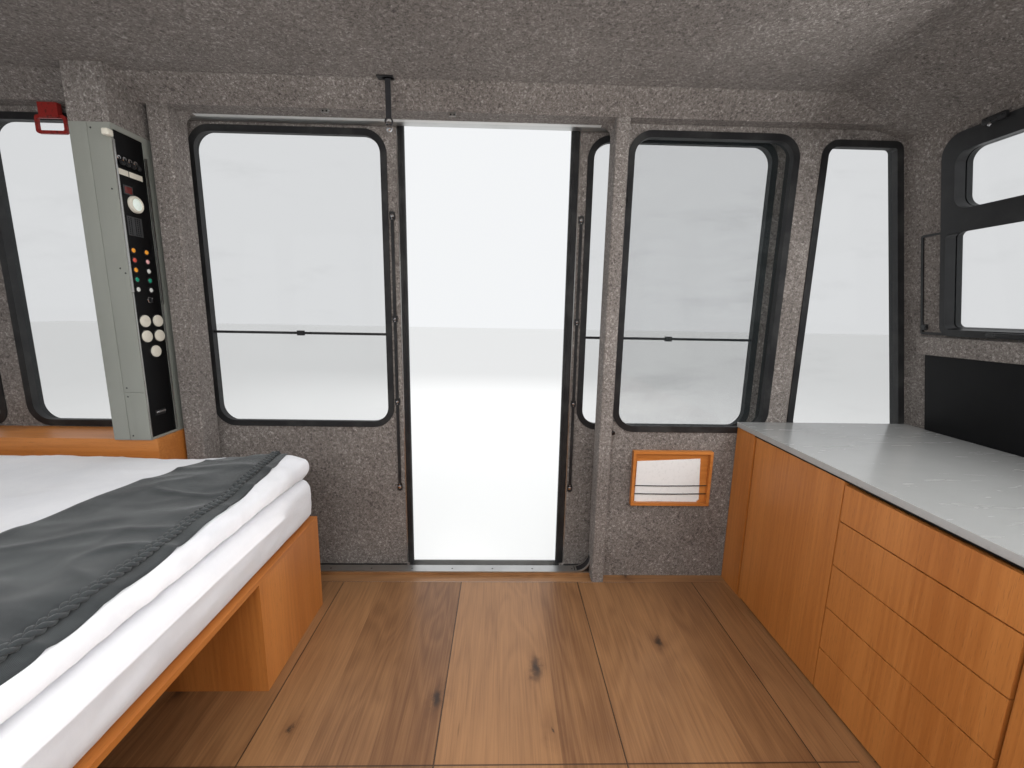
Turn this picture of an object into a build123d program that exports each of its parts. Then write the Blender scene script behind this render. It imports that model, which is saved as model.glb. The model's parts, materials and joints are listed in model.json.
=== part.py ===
from build123d import *
from typing import NamedTuple
import math
import os

# Aerial tramway cabin, fitted out as a small room.
# X runs along the rope, +Y points at the side with the door that stands open, +Z is up.
# Shapes are drawn in millimetres from the middle of the cabin floor's top surface.
# On saving they are moved so that the origin is the centre of the suspension bore.

# Cabin body
LINING_HALF = 1190.0  # middle of the cabin to a side wall's lining
WALL_T = 50.0
WALL_DROP = 80.0  # walls' lower edge below the floor
END_FOOT = 2670.0  # middle of the cabin to an end wall's lining, at floor height
END_SLOPE = 0.18  # how far an end wall leans inwards for each unit of height
CORNER_R = 42.0

# Floor
BOARD_T = 20.0
BOARD_PITCH = 598.0
BOARD_FIRST = 277.0  # a seam between two boards, along X
GROOVE = 1.5
BORDER_W = 47.0  # border board along the counter's front

# Ceiling
CEILING_Z = 2280.0
CEILING_T = 12.0
CEILING_FLAT_X = 1880.0  # middle of the cabin to where the ceiling starts to fall
COVE_W = 100.0  # sloping strip over the door posts
SOFFIT_DROP = 74.0  # flat ceiling to the soffit over door and windows
END_DROP = 112.0  # flat ceiling to its lower edge on an end wall

# Door opening
POST_IN = 950.0  # middle of the opening to a post
POST_W = 60.0
POST_W_CONSOLE = 88.0  # the post beside the console
POST_PROUD = 60.0  # how far a post stands into the room
POST_CHAMFER = 5.0
SILL_T = 6.0
SILL_TOP = 20.0  # upper face of the sill above the floor
SILL_PROUD = 2.0
SILL_LIP_T = 4.0  # the sill's edge that turns down to its rail
SILL_RAIL_DROP = 16.0  # top of the sill's rail below the floor

# Sliding door leaves
LEAF_STANDOFF = 60.0  # outer skin to a leaf
LEAF_T = 40.0
LEAF_LAP = 95.0  # how far a closed leaf reaches past the opening
LEAF_DROP = 30.0  # a leaf's foot below the floor
LEAF_RISE = 44.0  # a leaf's head above the soffit
MEET_GAP = 8.0  # between the leading edges of a closed pair
LEAD_W = 20.0
TRAIL_W = 12.0
EDGE_INSET = 3.0  # edge rubber behind both faces of its leaf
EDGE_END = 5.0  # edge rubber short of its leaf's foot and head
EDGE_R = 12.0
LEAD_STILE = 71.0  # leading edge of a panel to its window
TRAIL_STILE = 49.0
LEAF_RAIL = 65.0  # head of a panel to its window
LEAF_WIN_LOW = 783.0
LEAF_OPEN = 779.0  # how far the front right leaf stands open
BAR_Z = 1250.0
BAR_H = 12.0
BAR_T = 12.0
CATCH_W = 32.0
CATCH_H = 24.0
CATCH_T = 18.0

# Lock rod on a leaf's inner face
ROD_IN = 60.0  # from the leading edge
ROD_W = 14.0
ROD_T = 7.0
ROD_GAP = 6.0
ROD_LOW = 425.0
ROD_HIGH = 1835.0
ROD_CLIPS = (445.0, 908.0, 1328.0, 1815.0)
CLIP_W = 24.0
CLIP_H = 32.0

# Door gear
HEADER_GAP = 16.0  # header and foot rail to a leaf
TRACK_GAP = 12.0  # leaf's head to the track
TRACK_W = 72.0
TRACK_H = 74.0
TRACK_T = 4.0
TRACK_END = 23.0  # track past a leaf that stands wide open
SLOT_W = 24.0
HANGER_W = 60.0
HANGER_T = 8.0
HANGER_END = 14.0
HANGER_SHARE = 0.2  # a hanger's place, as a share of the leaf from each edge
ROLLER_R = 22.0
ROLLER_W = 18.0
ROLLER_GAP = 1.0  # roller to hanger
AXLE_R = 5.0
AXLE_GAP = 0.15
RUN_GAP = 0.3  # running clearance of rollers, runners and hinge rods
FOOT_GAP = 14.0  # a leaf's foot to its channel
LIP_GAP = 6.0  # a leaf's outer face to the channel's lip
LIP_H = 29.0
FOOT_T = 6.0

# Side windows
SEAL_W = 18.0
SEAL_OUT_W = 6.0  # depth of the rubber outside its pane
SEAL_LIP_W = 12.0
SEAL_LIP_T = 6.0
GLASS_T = 6.0
GLASS_BITE = 8.0  # how deep a pane sits in its rubber
WINDOW_R = 95.0
WINDOW_LOW = 804.0
FIXED_GAP = 25.0  # post to the window beside it
FIXED_W = 758.0
FIXED_HEAD = 37.0  # soffit to that window
CORNER_GAP = 124.0  # between the two windows
CORNER_HEAD = 16.0  # ceiling's edge on the end wall to the corner window
CORNER_EDGE = 22.0  # end wall to the corner window's leaning edge
CORNER_NEAR_R = 60.0
CORNER_FAR_R = 30.0

# End windows
END_WIN_SIDE = 195.0  # side wall's lining to an end window
END_WIN_HEAD = 70.0  # ceiling's edge to an end window
LEDGE_LOW = 1216.0
LEDGE_H = 80.0
LEDGE_T = 25.0
LEDGE_R = 8.0
LEDGE_SIDE = 83.0  # side wall's lining to the ledge
LEDGE_TO_WINDOW = 22.0
TRANSOM_LOW = 1731.0
TRANSOM_H = 90.0
VENT_STILE = 40.0
VENT_RAIL = 58.0
VENT_R = 50.0
END_RAIL = 15.0
END_STILE = 8.0
SILL_R = 30.0
HEAD_R = 70.0
FRAME_PROUD = 20.0
FRAME_LIP = 13.0
FRAME_OUT = 6.0
PANE_BITE = 5.0
TRIM_W = 10.0
TRIM_T = 6.0
TRIM_R = 12.0
TRIM_LOW = 9.0  # ledge to the trim round the lower pane
TRIM_HIGH = 14.0  # trim above the transom's lower edge

# Roof and hatch
ROOF_SEAT = 30.0  # flat ceiling to the walls' upper edge
ROOF_RISE = 95.0
ROOF_T = 25.0
EAVE_H = 25.0
EAVE_R = 12.0
SHOULDER_IN = 90.0
SHOULDER_DROP = 20.0
SHOULDER_R = 90.0
CROWN_FLAT = 650.0
CROWN_R = 300.0
ROOF_END_IN = 60.0
HATCH_X = 1450.0
HATCH_OPEN = 520.0
COAMING_T = 20.0
COAMING_H = 35.0
SKIRT_GAP = 8.0  # coaming to the lid's skirt
SKIRT_T = 12.0
SKIRT_H = 22.0
LID_T = 24.0
LID_GAP = 6.0
LID_CORNER = 20.0
LID_EDGE = 8.0
HINGE_OUT = 30.0  # lid's edge to the hinge rod
HINGE_DROP = 8.0  # coaming's rim to the hinge rod
HINGE_R = 4.0
KNUCKLE_R = 8.0
KNUCKLE_HALF = 120.0
KNUCKLE_GAP = 5.0
PLATE_T = 20.0

# Suspension frame
BEAM_Y = 300.0
BEAM_W = 80.0
BEAM_H = 100.0
BEAM_HALF = 1000.0
CROSS_PLACES = (-900.0, -300.0, 300.0, 900.0)
PAD_L = 160.0
PAD_W = 120.0
PAD_T = 20.0
LUG_GAP = 140.0
LUG_T = 25.0
LUG_R = 70.0
LUG_FOOT = 420.0
LUG_WEB = 8.0
LUG_BEAM_W = 90.0
LUG_BEAM_HALF = 300.0
BORE_R = 30.0
BORE_RISE = 315.0  # bore above the roof

# Underframe, buffers and side guides
LONG_BEAM_IN = 70.0  # side wall's lining to the middle of an outer long beam
LONG_BEAM_Y = 480.0  # middle of the cabin to an inner long beam
LONG_BEAM_W = 80.0
LONG_BEAM_H = 80.0
CROSS_BEAM_W = 60.0
CROSS_BEAM_H = 60.0
HEADSTOCK_W = 80.0
HALF_BAYS = 6  # bays between the middle cross beam and a headstock
OUTRIGGERS = (-4, -2, 0, 2, 4)  # cross beams that reach out to the guide rails
BUFFER_Y = 800.0
BUFFER_R = 60.0
BUFFER_L = 75.0
RAIL_GAP = 35.0  # a leaf's outer face to the guide rail
RAIL_W = 50.0
RAIL_H = 70.0
RAIL_DROP = 90.0  # guide rail's lower edge below the walls
RAIL_HALF = 2300.0

# Console beside the door
CONSOLE_GAP = 24.0  # post to console
CONSOLE_W = 158.0
CONSOLE_PROUD = 154.0  # in front of the posts
CONSOLE_BACK = 10.0  # side wall's lining to the column's back
CONSOLE_SHEET = 3.0
CONSOLE_RIM = 8.0
CONSOLE_HEAD = 210.0  # ceiling to the metal column
PANEL_EDGE = 8.0
PANEL_W = 140.0
PANEL_T = 4.0
PANEL_SINK = 4.0
PANEL_FOOT = 10.0
PANEL_HEAD = 20.0

# Locker under the window beside the console
LOCKER_TOP = 790.0
LOCKER_D = 190.0
LOCKER_BACK = 8.0
LOCKER_GAP = 12.0
LOCKER_END = 4.0
PLY_T = 18.0

# Bed
HEAD_GAP = 175.9  # end wall to the bedding's head
BED_L = 2000.0
BED_W = 1800.0
BED_GAP = 165.0  # door posts to the bed
PLATFORM_LOW = 425.0
MATTRESS_TOP = 640.0
DUVET_TOP = 745.0
SOFT_GAP = 0.3  # between things that only lie on each other
CHEST_L = 1200.0
CHEST_W = 465.0
HEAD_BOARD_OUT = 40.0
PLATFORM_GAP = 10.0  # end wall to the platform
MATTRESS_IN = 5.0
MATTRESS_CORNER_R = 60.0
MATTRESS_EDGE_R = 30.0
DUVET_CORNER_R = 70.0
DUVET_EDGE_R = 40.0
THROW_CORNER_R = 10.0
THROW_EDGE_R = 3.0
DUVET_OUT = 15.0
DUVET_FAR_OUT = 20.0
DUVET_SHORT = 20.0
THROW_END_GAP = 30.0  # sides of the bed to the throw
THROW_KNEE = 340.0  # its far end to where it is spread out
THROW_FAR_IN = 95.0
THROW_FAR_W = 225.0
THROW_KNEE_IN = 45.0
THROW_KNEE_W = 470.0
THROW_NEAR_IN = 30.0
THROW_NEAR_W = 535.0
THROW_T = 12.0

# Counter
COUNTER_DEPTH = 823.0
COUNTER_BACK_GAP = 41.5
COUNTER_SIDE_GAP = 7.0
WORKTOP_LOW = 825.0
WORKTOP_T = 25.0
WORKTOP_PROUD = 4.0
FRONT_T = 19.0
FRONT_GAP = 5.0
CARCASS_GAP = 8.0  # between fronts and carcass
FRONT_LOW = 8.0
FRONT_HEAD = 8.0  # fronts below the worktop
FILLER_FAR = 153.0
FILLER_NEAR = 126.0
FILLER_REVEAL = 6.0
FAR_DOOR_W = 521.0
DRAWER_W = 534.0
DRAWER_COUNT = 5
DRAWER_DEPTH = 700.0
DRAWER_SIDE = 17.0  # column's edge to a drawer's box
DRAWER_T = 12.0
DRAWER_FOOT = 15.0
DRAWER_H = 110.0
DRAWER_BOTTOM = 10.0
RECESS_H = 11.0  # strip left open above the top drawer
TOP_FRONT_H = 130.0  # front of the top drawer
RUNNER_W = 24.0
RUNNER_H = 8.0
RUNNER_START = 5.0
PIVOT_IN = 12.0  # door's edge to its pivots
PIVOT_R = 4.0
PIVOT_L = 24.0
PIVOT_PLATE_T = 3.0
PIVOT_PLATE_REACH = 10.0  # from a pivot towards the middle of its door
DOOR_EDGE_R = 9.0  # rounding of a door at its pivots

# Splashback
SPLASH_SIDE = 29.0  # inside the ledge's ends
SPLASH_T = 12.0
SPLASH_FOOT = 3.0
SPLASH_HEAD = 4.0
SPLASH_R = 4.0

# Niche in the wall between door and counter
NICHE_FROM_POST = 126.0
NICHE_FROM_COUNTER = 117.0
NICHE_LOW = 408.0
NICHE_H = 289.0
NICHE_D = 25.0
NICHE_RIM = 14.0
NICHE_SKIN = 4.0
NICHE_R = 3.0
CARD_MARGIN_LEFT = 6.0
CARD_MARGIN_RIGHT = 29.0
CARD_H = 225.0
CARD_T = 4.0

# Small fittings
LOOP_X = -1455.0
LOOP_W = 132.0
LOOP_H = 74.0
LOOP_DROP = 121.0  # soffit to the loop's lower edge
LOOP_BAR = 13.0
LOOP_R = 14.0
LOOP_T = 10.0
LOOP_IN = 20.0  # in front of the soffit's edge
LOOP_FOOT_W = 80.0
LOOP_FOOT_T = 20.0
STRAP_X = 2.0
STRAP_W = 22.0
STRAP_T = 3.0
STRAP_L = 145.0
STRAP_PLATE_W = 40.0
STRAP_PLATE_D = 17.0
STRAP_PLATE_T = 5.0
RING_R = 17.0
RING_HOLE = 11.0
RING_T = 7.0
BALL_R = 12.0
COAT_HOOK_Z = 1862.0
COAT_HOOK_W = 12.0
COAT_HOOK_H = 28.0
COAT_HOOK_L = 18.0
COAT_HOOK_T = 5.0
COAT_HOOK_IN = 14.0  # lining to the hook
KNOB_R = 12.0
KNOB_L = 22.0
KNOB_IN = 15.0  # post to knob
KNOB_DROP = 4.0  # window's lower rubber to knob
BRACKET_PLACES = (244.0, -295.0)
BRACKET_W = 20.0
BRACKET_D = 14.0
BRACKET_H = 12.0

# Worked out from the sizes above
CLEAR = 1.0  # how far a cutting shape runs past what it cuts
LEAN = math.atan(END_SLOPE)
END_T = WALL_T / math.cos(LEAN)
SKIN_HALF = LINING_HALF + WALL_T
POST_HALF = LINING_HALF - POST_PROUD
POST_OUT = POST_IN + POST_W
WALL_LOW = -WALL_DROP
WALL_TOP = CEILING_Z + ROOF_SEAT
LINING_TOP = CEILING_Z + CEILING_T
SOFFIT_Z = CEILING_Z - SOFFIT_DROP
END_EDGE_Z = CEILING_Z - END_DROP
ROOF_TOP = WALL_TOP + ROOF_RISE
BORE_Z = ROOF_TOP + BORE_RISE
SILL_LOW = SILL_TOP - SILL_T
LEAF_LEAD = MEET_GAP / 2
LEAF_TRAIL = POST_IN + LEAF_LAP
LEAF_TRAVEL = POST_IN - LEAF_LEAD
LEAF_Y = SKIN_HALF + LEAF_STANDOFF
LEAF_BACK = LEAF_Y + LEAF_T
LEAF_MID = LEAF_Y + LEAF_T / 2
LEAF_LOW = -LEAF_DROP
LEAF_HIGH = SOFFIT_Z + LEAF_RISE
PANEL_X_LOW = LEAF_LEAD + LEAD_W
PANEL_X_HIGH = LEAF_TRAIL - TRAIL_W
HEADER_Y = LEAF_Y - HEADER_GAP
TRACK_HALF = LEAF_TRAIL + LEAF_TRAVEL + TRACK_END
TRACK_LOW = LEAF_HIGH + TRACK_GAP
TRACK_TOP = TRACK_LOW + TRACK_H
ROLLER_Z = TRACK_LOW + TRACK_T + RUN_GAP + ROLLER_R
GLASS_MID = LINING_HALF + WALL_T / 2
FIXED_LEFT = POST_OUT + FIXED_GAP
FIXED_RIGHT = FIXED_LEFT + FIXED_W
FIXED_HIGH = SOFFIT_Z - FIXED_HEAD
CORNER_LEFT = FIXED_RIGHT + CORNER_GAP
CORNER_HIGH = END_EDGE_Z - CORNER_HEAD
END_WIN_HALF = LINING_HALF - END_WIN_SIDE
LEDGE_HALF = LINING_HALF - LEDGE_SIDE
LEDGE_HIGH = LEDGE_LOW + LEDGE_H
END_WIN_LOW = LEDGE_HIGH + LEDGE_TO_WINDOW
END_WIN_HIGH = END_EDGE_Z - END_WIN_HEAD
COAMING_TOP = ROOF_TOP + COAMING_H
COAMING_HALF = HATCH_OPEN / 2 + COAMING_T
LID_HALF = COAMING_HALF + SKIRT_GAP + SKIRT_T
HINGE_X = HATCH_X + LID_HALF + HINGE_OUT
HINGE_Z = COAMING_TOP - HINGE_DROP
CROSS_LOW = WALL_LOW - CROSS_BEAM_H
FRAME_LOW = CROSS_LOW - LONG_BEAM_H
OUTER_BEAM_Y = LINING_HALF - LONG_BEAM_IN
GUIDE_Y = LEAF_BACK + RAIL_GAP
CONSOLE_FACE = -POST_IN - POST_W_CONSOLE - CONSOLE_GAP
CONSOLE_LEFT = CONSOLE_FACE - CONSOLE_W
CONSOLE_FRONT = POST_HALF - CONSOLE_PROUD
CONSOLE_REAR = LINING_HALF - CONSOLE_BACK
CONSOLE_TOP = CEILING_Z - CONSOLE_HEAD
PANEL_X = CONSOLE_FACE - PANEL_SINK
PANEL_NEAR = CONSOLE_FRONT + PANEL_EDGE
PANEL_FAR = PANEL_NEAR + PANEL_W
PANEL_LOW = LOCKER_TOP + PANEL_FOOT
PANEL_HIGH = CONSOLE_TOP - PANEL_HEAD
WORKTOP_TOP = WORKTOP_LOW + WORKTOP_T
COUNTER_HALF = LINING_HALF - COUNTER_SIDE_GAP
FRONT_HIGH = WORKTOP_LOW - FRONT_HEAD
TOP_FRONT_LOW = FRONT_HIGH - RECESS_H - TOP_FRONT_H
DRAWER_PITCH = (TOP_FRONT_LOW - FRONT_LOW) / (DRAWER_COUNT - 1)


def end_x(z):
    """How far the end wall's lining is from the middle at height z."""
    return END_FOOT - END_SLOPE * z


def up(z):
    """Height z measured along the leaning end wall."""
    return z / math.cos(LEAN)


BED_HEAD_X = HEAD_GAP - end_x(DUVET_TOP)
BED_FOOT_X = BED_HEAD_X + BED_L
BED_FAR = POST_HALF - BED_GAP
BED_NEAR = BED_FAR - BED_W
COUNTER_BACK = end_x(WORKTOP_LOW) - COUNTER_BACK_GAP
FRONT_X = COUNTER_BACK - COUNTER_DEPTH
BORDER_X = FRONT_X - BORDER_W
CARCASS_X = FRONT_X + FRONT_T + CARCASS_GAP
PIVOT_X = FRONT_X + FRONT_T / 2
END_PLANE = Plane(
    origin=(END_FOOT, 0, 0), x_dir=(0, 1, 0), z_dir=(math.cos(LEAN), 0, math.sin(LEAN))
)


class CounterFront(NamedTuple):
    """A column of fronts: the Y of both its edges, and the edge that a door hangs on."""

    name: str
    far: float
    near: float
    hung: int  # 1 on the far edge, -1 on the near edge, 0 for the stack of drawers


COUNTER_FAR = COUNTER_HALF - FILLER_FAR
COUNTER_NEAR = FILLER_NEAR - COUNTER_HALF
DRAWERS_FAR = COUNTER_FAR - FAR_DOOR_W
DRAWERS_NEAR = DRAWERS_FAR - DRAWER_W
PAIR_MIDDLE = (DRAWERS_NEAR + COUNTER_NEAR) / 2
FRONTS = (
    CounterFront("counter_door_far", COUNTER_FAR, DRAWERS_FAR, 1),
    CounterFront("drawer", DRAWERS_FAR, DRAWERS_NEAR, 0),
    CounterFront("counter_door_middle", DRAWERS_NEAR, PAIR_MIDDLE, 1),
    CounterFront("counter_door_near", PAIR_MIDDLE, COUNTER_NEAR, -1),
)
DOORS = [front for front in FRONTS if front.hung]
DRAWERS = FRONTS[1]


class Leaf(NamedTuple):
    """A sliding leaf's place, told from the closed right-hand leaf of the +Y side."""

    name: str
    left: bool
    back: bool
    open_by: float


LEAVES = (
    Leaf("leaf_front_right", False, False, LEAF_OPEN),
    Leaf("leaf_front_left", True, False, 0.0),
    Leaf("leaf_back_right", False, True, 0.0),
    Leaf("leaf_back_left", True, True, 0.0),
)


# Shapes


def across(outline, y_low, y_high):
    """An (x, z) outline made thick from y_low to y_high."""
    return Plane.XZ.offset(-y_high) * extrude(outline, y_high - y_low)


def along(outline, x_low, x_high):
    """A (y, z) outline made thick from x_low to x_high."""
    return Plane.YZ.offset(x_low) * extrude(outline, x_high - x_low)


def on_end(outline, inwards, outwards):
    """An outline on the right end wall, made thick to both sides of its lining."""
    return END_PLANE.offset(-inwards) * extrude(outline, inwards + outwards)


def block(x_low, x_high, y_low, y_high, z_low, z_high):
    """A box between two corners."""
    centre = Pos((x_low + x_high) / 2, (y_low + y_high) / 2, (z_low + z_high) / 2)
    return centre * Box(x_high - x_low, y_high - y_low, z_high - z_low)


def rounded(low_u, high_u, low_v, high_v, radius):
    """A flat rectangle with rounded corners."""
    centre = Pos((low_u + high_u) / 2, (low_v + high_v) / 2)
    return centre * RectangleRounded(high_u - low_u, high_v - low_v, radius)


def polygon(*points):
    """A flat outline through the points."""
    return make_face(Polyline(*points, close=True))


def rod(x, y, z_low, z_high, radius):
    """An upright round bar."""
    return Pos(x, y, (z_low + z_high) / 2) * Cylinder(radius, z_high - z_low)


def rod_y(x, z, y_low, y_high, radius):
    """A round bar across the cabin."""
    return Pos(x, (y_low + y_high) / 2, z) * Rot(90, 0, 0) * Cylinder(radius, y_high - y_low)


def rod_x(y, z, x_low, x_high, radius):
    """A round bar along the cabin."""
    return Pos((x_low + x_high) / 2, y, z) * Rot(0, 90, 0) * Cylinder(radius, x_high - x_low)


def flip_x(shape):
    """The same shape at the other end of the cabin."""
    return mirror(shape, about=Plane.YZ)


def flip_y(shape):
    """The same shape at the other side of the cabin."""
    return mirror(shape, about=Plane.XZ)


def all_four(shape):
    """A shape and its copies at both ends and both sides."""
    return [shape, flip_x(shape), flip_y(shape), flip_x(flip_y(shape))]


def save(name, *shapes):
    """Write one node, with the origin moved to the suspension bore."""
    solids = [Pos(0, 0, -BORE_Z) * solid for shape in shapes for solid in shape.solids()]
    node = solids[0] if len(solids) == 1 else Compound(children=solids)
    export_step(node, f"parts/{name}.step")


# Window outlines, each grown by a margin


def fixed_outline(grow):
    """The window beside the door, as (x, z)."""
    return rounded(
        FIXED_LEFT - grow,
        FIXED_RIGHT + grow,
        WINDOW_LOW - grow,
        FIXED_HIGH + grow,
        WINDOW_R + grow,
    )


def corner_outline(grow):
    """The window at the corner, whose outer edge leans with the end wall, as (x, z)."""
    low = WINDOW_LOW - grow
    high = CORNER_HIGH + grow
    edge = CORNER_EDGE - grow / math.cos(LEAN)
    points = (
        (CORNER_LEFT - grow, low),
        (end_x(low) - edge, low),
        (end_x(high) - edge, high),
        (CORNER_LEFT - grow, high),
    )
    radii = (
        CORNER_NEAR_R + grow,
        CORNER_FAR_R + grow,
        CORNER_FAR_R + grow,
        CORNER_NEAR_R + grow,
    )
    return make_face(FilletPolyline(*points, radius=radii, close=True))


def leaf_outline(grow):
    """The window of the right-hand leaf in its closed place, as (x, z)."""
    return rounded(
        PANEL_X_LOW + LEAD_STILE - grow,
        PANEL_X_HIGH - TRAIL_STILE + grow,
        LEAF_WIN_LOW - grow,
        LEAF_HIGH - LEAF_RAIL + grow,
        WINDOW_R + grow,
    )


def seal(outline, y_in, y_out, pane):
    """A rubber section in the hole of a panel, with a lip on both faces and a step for the pane."""
    step = (y_in + y_out - GLASS_T) / 2
    bore = across(outline(-SEAL_W), y_in - 2 * SEAL_LIP_T, step)
    bore += across(outline(-SEAL_OUT_W), step, y_out + 2 * SEAL_LIP_T)
    tube = across(outline(0), y_in, y_out)
    inner = across(outline(SEAL_LIP_W), y_in - SEAL_LIP_T, y_in)
    outer = across(outline(SEAL_LIP_W), y_out, y_out + SEAL_LIP_T)
    return tube + inner + outer - bore - pane


# Body panels


def side_wall():
    """The +Y wall, with its door opening and windows cut."""
    outline = polygon(
        (-end_x(WALL_LOW), WALL_LOW),
        (end_x(WALL_LOW), WALL_LOW),
        (end_x(WALL_TOP), WALL_TOP),
        (-end_x(WALL_TOP), WALL_TOP),
    )
    inside = LINING_HALF - CLEAR
    outside = SKIN_HALF + CLEAR
    wall = across(outline, LINING_HALF, SKIN_HALF)
    wall -= block(-POST_OUT, POST_OUT, inside, outside, SILL_LOW, SOFFIT_Z)
    for hole in (fixed_outline(0), corner_outline(0)):
        cut = across(hole, inside, outside)
        wall -= cut + flip_x(cut)
    return wall


def end_wall():
    """The right end wall, leaning inwards, with its window cut and a padded ledge."""
    outline = polygon(
        (end_x(WALL_LOW), WALL_LOW),
        (end_x(WALL_LOW) + END_T, WALL_LOW),
        (end_x(WALL_TOP) + END_T, WALL_TOP),
        (end_x(WALL_TOP), WALL_TOP),
    )
    wall = across(outline, -SKIN_HALF, SKIN_HALF)
    uprights = [
        edge
        for edge in wall.edges()
        if abs(edge.center().Y) > LINING_HALF and edge.length > WALL_TOP
    ]
    outer = sorted(uprights, key=lambda edge: edge.center().X)[-2:]
    wall = fillet(outer, CORNER_R)
    ledge = rounded(-LEDGE_HALF, LEDGE_HALF, up(LEDGE_LOW), up(LEDGE_HIGH), LEDGE_R)
    wall += on_end(ledge, LEDGE_T, 0)
    return wall - on_end(end_outline(0), LEDGE_T + CLEAR, WALL_T + CLEAR)


def crown(inset):
    """The roof's bulk: arched across the cabin and sloping at both ends."""
    half = SKIN_HALF - inset
    length = end_x(WALL_TOP) + END_T - inset
    low = WALL_TOP - CLEAR if inset else WALL_TOP
    eave = WALL_TOP + EAVE_H - inset / 2
    shoulder = SKIN_HALF - SHOULDER_IN - inset
    top = ROOF_TOP - inset
    section = (
        (-half, low),
        (half, low),
        (half, eave),
        (shoulder, top - SHOULDER_DROP),
        (CROWN_FLAT, top),
        (-CROWN_FLAT, top),
        (-shoulder, top - SHOULDER_DROP),
        (-half, eave),
    )
    radii = (0, 0, EAVE_R, SHOULDER_R, CROWN_R, CROWN_R, SHOULDER_R, EAVE_R)
    side = polygon(
        (-length, low),
        (length, low),
        (length - ROOF_END_IN, top),
        (ROOF_END_IN - length, top),
    )
    bulk = make_face(FilletPolyline(*section, radius=radii, close=True))
    return along(bulk, -length, length) & across(side, -half, half)


def roof():
    """The roof shell, hollow below, with the hatch's coaming and hinge rod on it."""
    half = HATCH_OPEN / 2
    shell = crown(0) - crown(ROOF_T)
    shell += block(
        HATCH_X - COAMING_HALF,
        HATCH_X + COAMING_HALF,
        -COAMING_HALF,
        COAMING_HALF,
        LINING_TOP,
        COAMING_TOP,
    )
    reach = KNUCKLE_HALF + KNUCKLE_GAP
    for side in (-1, 1):
        low, high = sorted((side * reach, side * (reach + PLATE_T)))
        shell += block(
            HINGE_X - PLATE_T / 2,
            HINGE_X + PLATE_T / 2,
            low,
            high,
            ROOF_TOP - CLEAR,
            HINGE_Z + KNUCKLE_R,
        )
    shell += rod_y(HINGE_X, HINGE_Z, -reach - CLEAR, reach + CLEAR, HINGE_R)
    hole = block(
        HATCH_X - half, HATCH_X + half, -half, half, CEILING_Z, COAMING_TOP + CLEAR
    )
    return shell - hole


def hatch_lid():
    """The cap over the coaming, with its knuckle round the hinge rod."""
    low = COAMING_TOP + LID_GAP
    foot = low - SKIRT_H
    inner = LID_HALF - SKIRT_T
    outline = Pos(HATCH_X, 0) * RectangleRounded(2 * LID_HALF, 2 * LID_HALF, LID_CORNER)
    lid = Pos(0, 0, foot) * extrude(outline, LID_T + SKIRT_H)
    lid = fillet(lid.faces().sort_by(Axis.Z)[-1].edges(), LID_EDGE)
    lid -= block(HATCH_X - inner, HATCH_X + inner, -inner, inner, foot - CLEAR, low)
    arm_half = KNUCKLE_R / 2
    lid += block(
        HATCH_X + LID_HALF - SKIRT_T / 2,
        HINGE_X,
        -KNUCKLE_HALF,
        KNUCKLE_HALF,
        HINGE_Z - arm_half,
        HINGE_Z + arm_half,
    )
    lid += rod_y(HINGE_X, HINGE_Z, -KNUCKLE_HALF, KNUCKLE_HALF, KNUCKLE_R)
    bore_half = KNUCKLE_HALF + CLEAR
    return lid - rod_y(HINGE_X, HINGE_Z, -bore_half, bore_half, HINGE_R + RUN_GAP)


def ceiling():
    """The felt lining under the roof: flat in the middle, sloping to all four walls."""
    bulk = polygon(
        (-end_x(END_EDGE_Z), END_EDGE_Z),
        (end_x(END_EDGE_Z), END_EDGE_Z),
        (end_x(LINING_TOP), LINING_TOP),
        (-end_x(LINING_TOP), LINING_TOP),
    )
    flat_y = POST_HALF - COVE_W
    side = LINING_HALF + CLEAR
    below = END_EDGE_Z - CLEAR
    to_sides = polygon(
        (-side, below),
        (side, below),
        (side, SOFFIT_Z),
        (POST_HALF, SOFFIT_Z),
        (flat_y, CEILING_Z),
        (-flat_y, CEILING_Z),
        (-POST_HALF, SOFFIT_Z),
        (-side, SOFFIT_Z),
    )
    fall = END_DROP / (end_x(END_EDGE_Z) - CEILING_FLAT_X)
    foot_z = CEILING_Z - fall * (END_FOOT - CEILING_FLAT_X)
    to_ends = polygon(
        (-END_FOOT, foot_z - END_DROP),
        (END_FOOT, foot_z - END_DROP),
        (END_FOOT, foot_z),
        (CEILING_FLAT_X, CEILING_Z),
        (-CEILING_FLAT_X, CEILING_Z),
        (-END_FOOT, foot_z),
    )
    room = along(to_sides, -END_FOOT, END_FOOT) & across(to_ends, -side, side)
    half = HATCH_OPEN / 2
    shaft = block(
        HATCH_X - half, HATCH_X + half, -half, half, CEILING_Z - CLEAR, LINING_TOP + CLEAR
    )
    return across(bulk, -LINING_HALF, LINING_HALF) - room - shaft


def post():
    """One felt-covered door post, chamfered towards the room."""
    outline = polygon(
        (POST_IN, POST_HALF + POST_CHAMFER),
        (POST_IN + POST_CHAMFER, POST_HALF),
        (POST_OUT - POST_CHAMFER, POST_HALF),
        (POST_OUT, POST_HALF + POST_CHAMFER),
        (POST_OUT, SKIN_HALF),
        (POST_IN, SKIN_HALF),
    )
    wall_foot = block(
        POST_IN - CLEAR,
        POST_OUT + CLEAR,
        LINING_HALF,
        SKIN_HALF + CLEAR,
        -CLEAR,
        SILL_LOW,
    )
    return extrude(outline, SOFFIT_Z) - wall_foot


def console_post():
    """The post beside the console, with the strip that widens it in front of the wall."""
    back = LINING_HALF - SEAL_LIP_T - CLEAR
    strip = polygon(
        (-POST_OUT, POST_HALF + POST_CHAMFER),
        (-POST_OUT, back),
        (-POST_IN - POST_W_CONSOLE, back),
        (-POST_IN - POST_W_CONSOLE, POST_HALF + POST_CHAMFER),
        (-POST_IN - POST_W_CONSOLE + POST_CHAMFER, POST_HALF),
        (-POST_OUT + POST_CHAMFER, POST_HALF),
    )
    return flip_x(post()) + extrude(strip, SOFFIT_Z)


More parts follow.
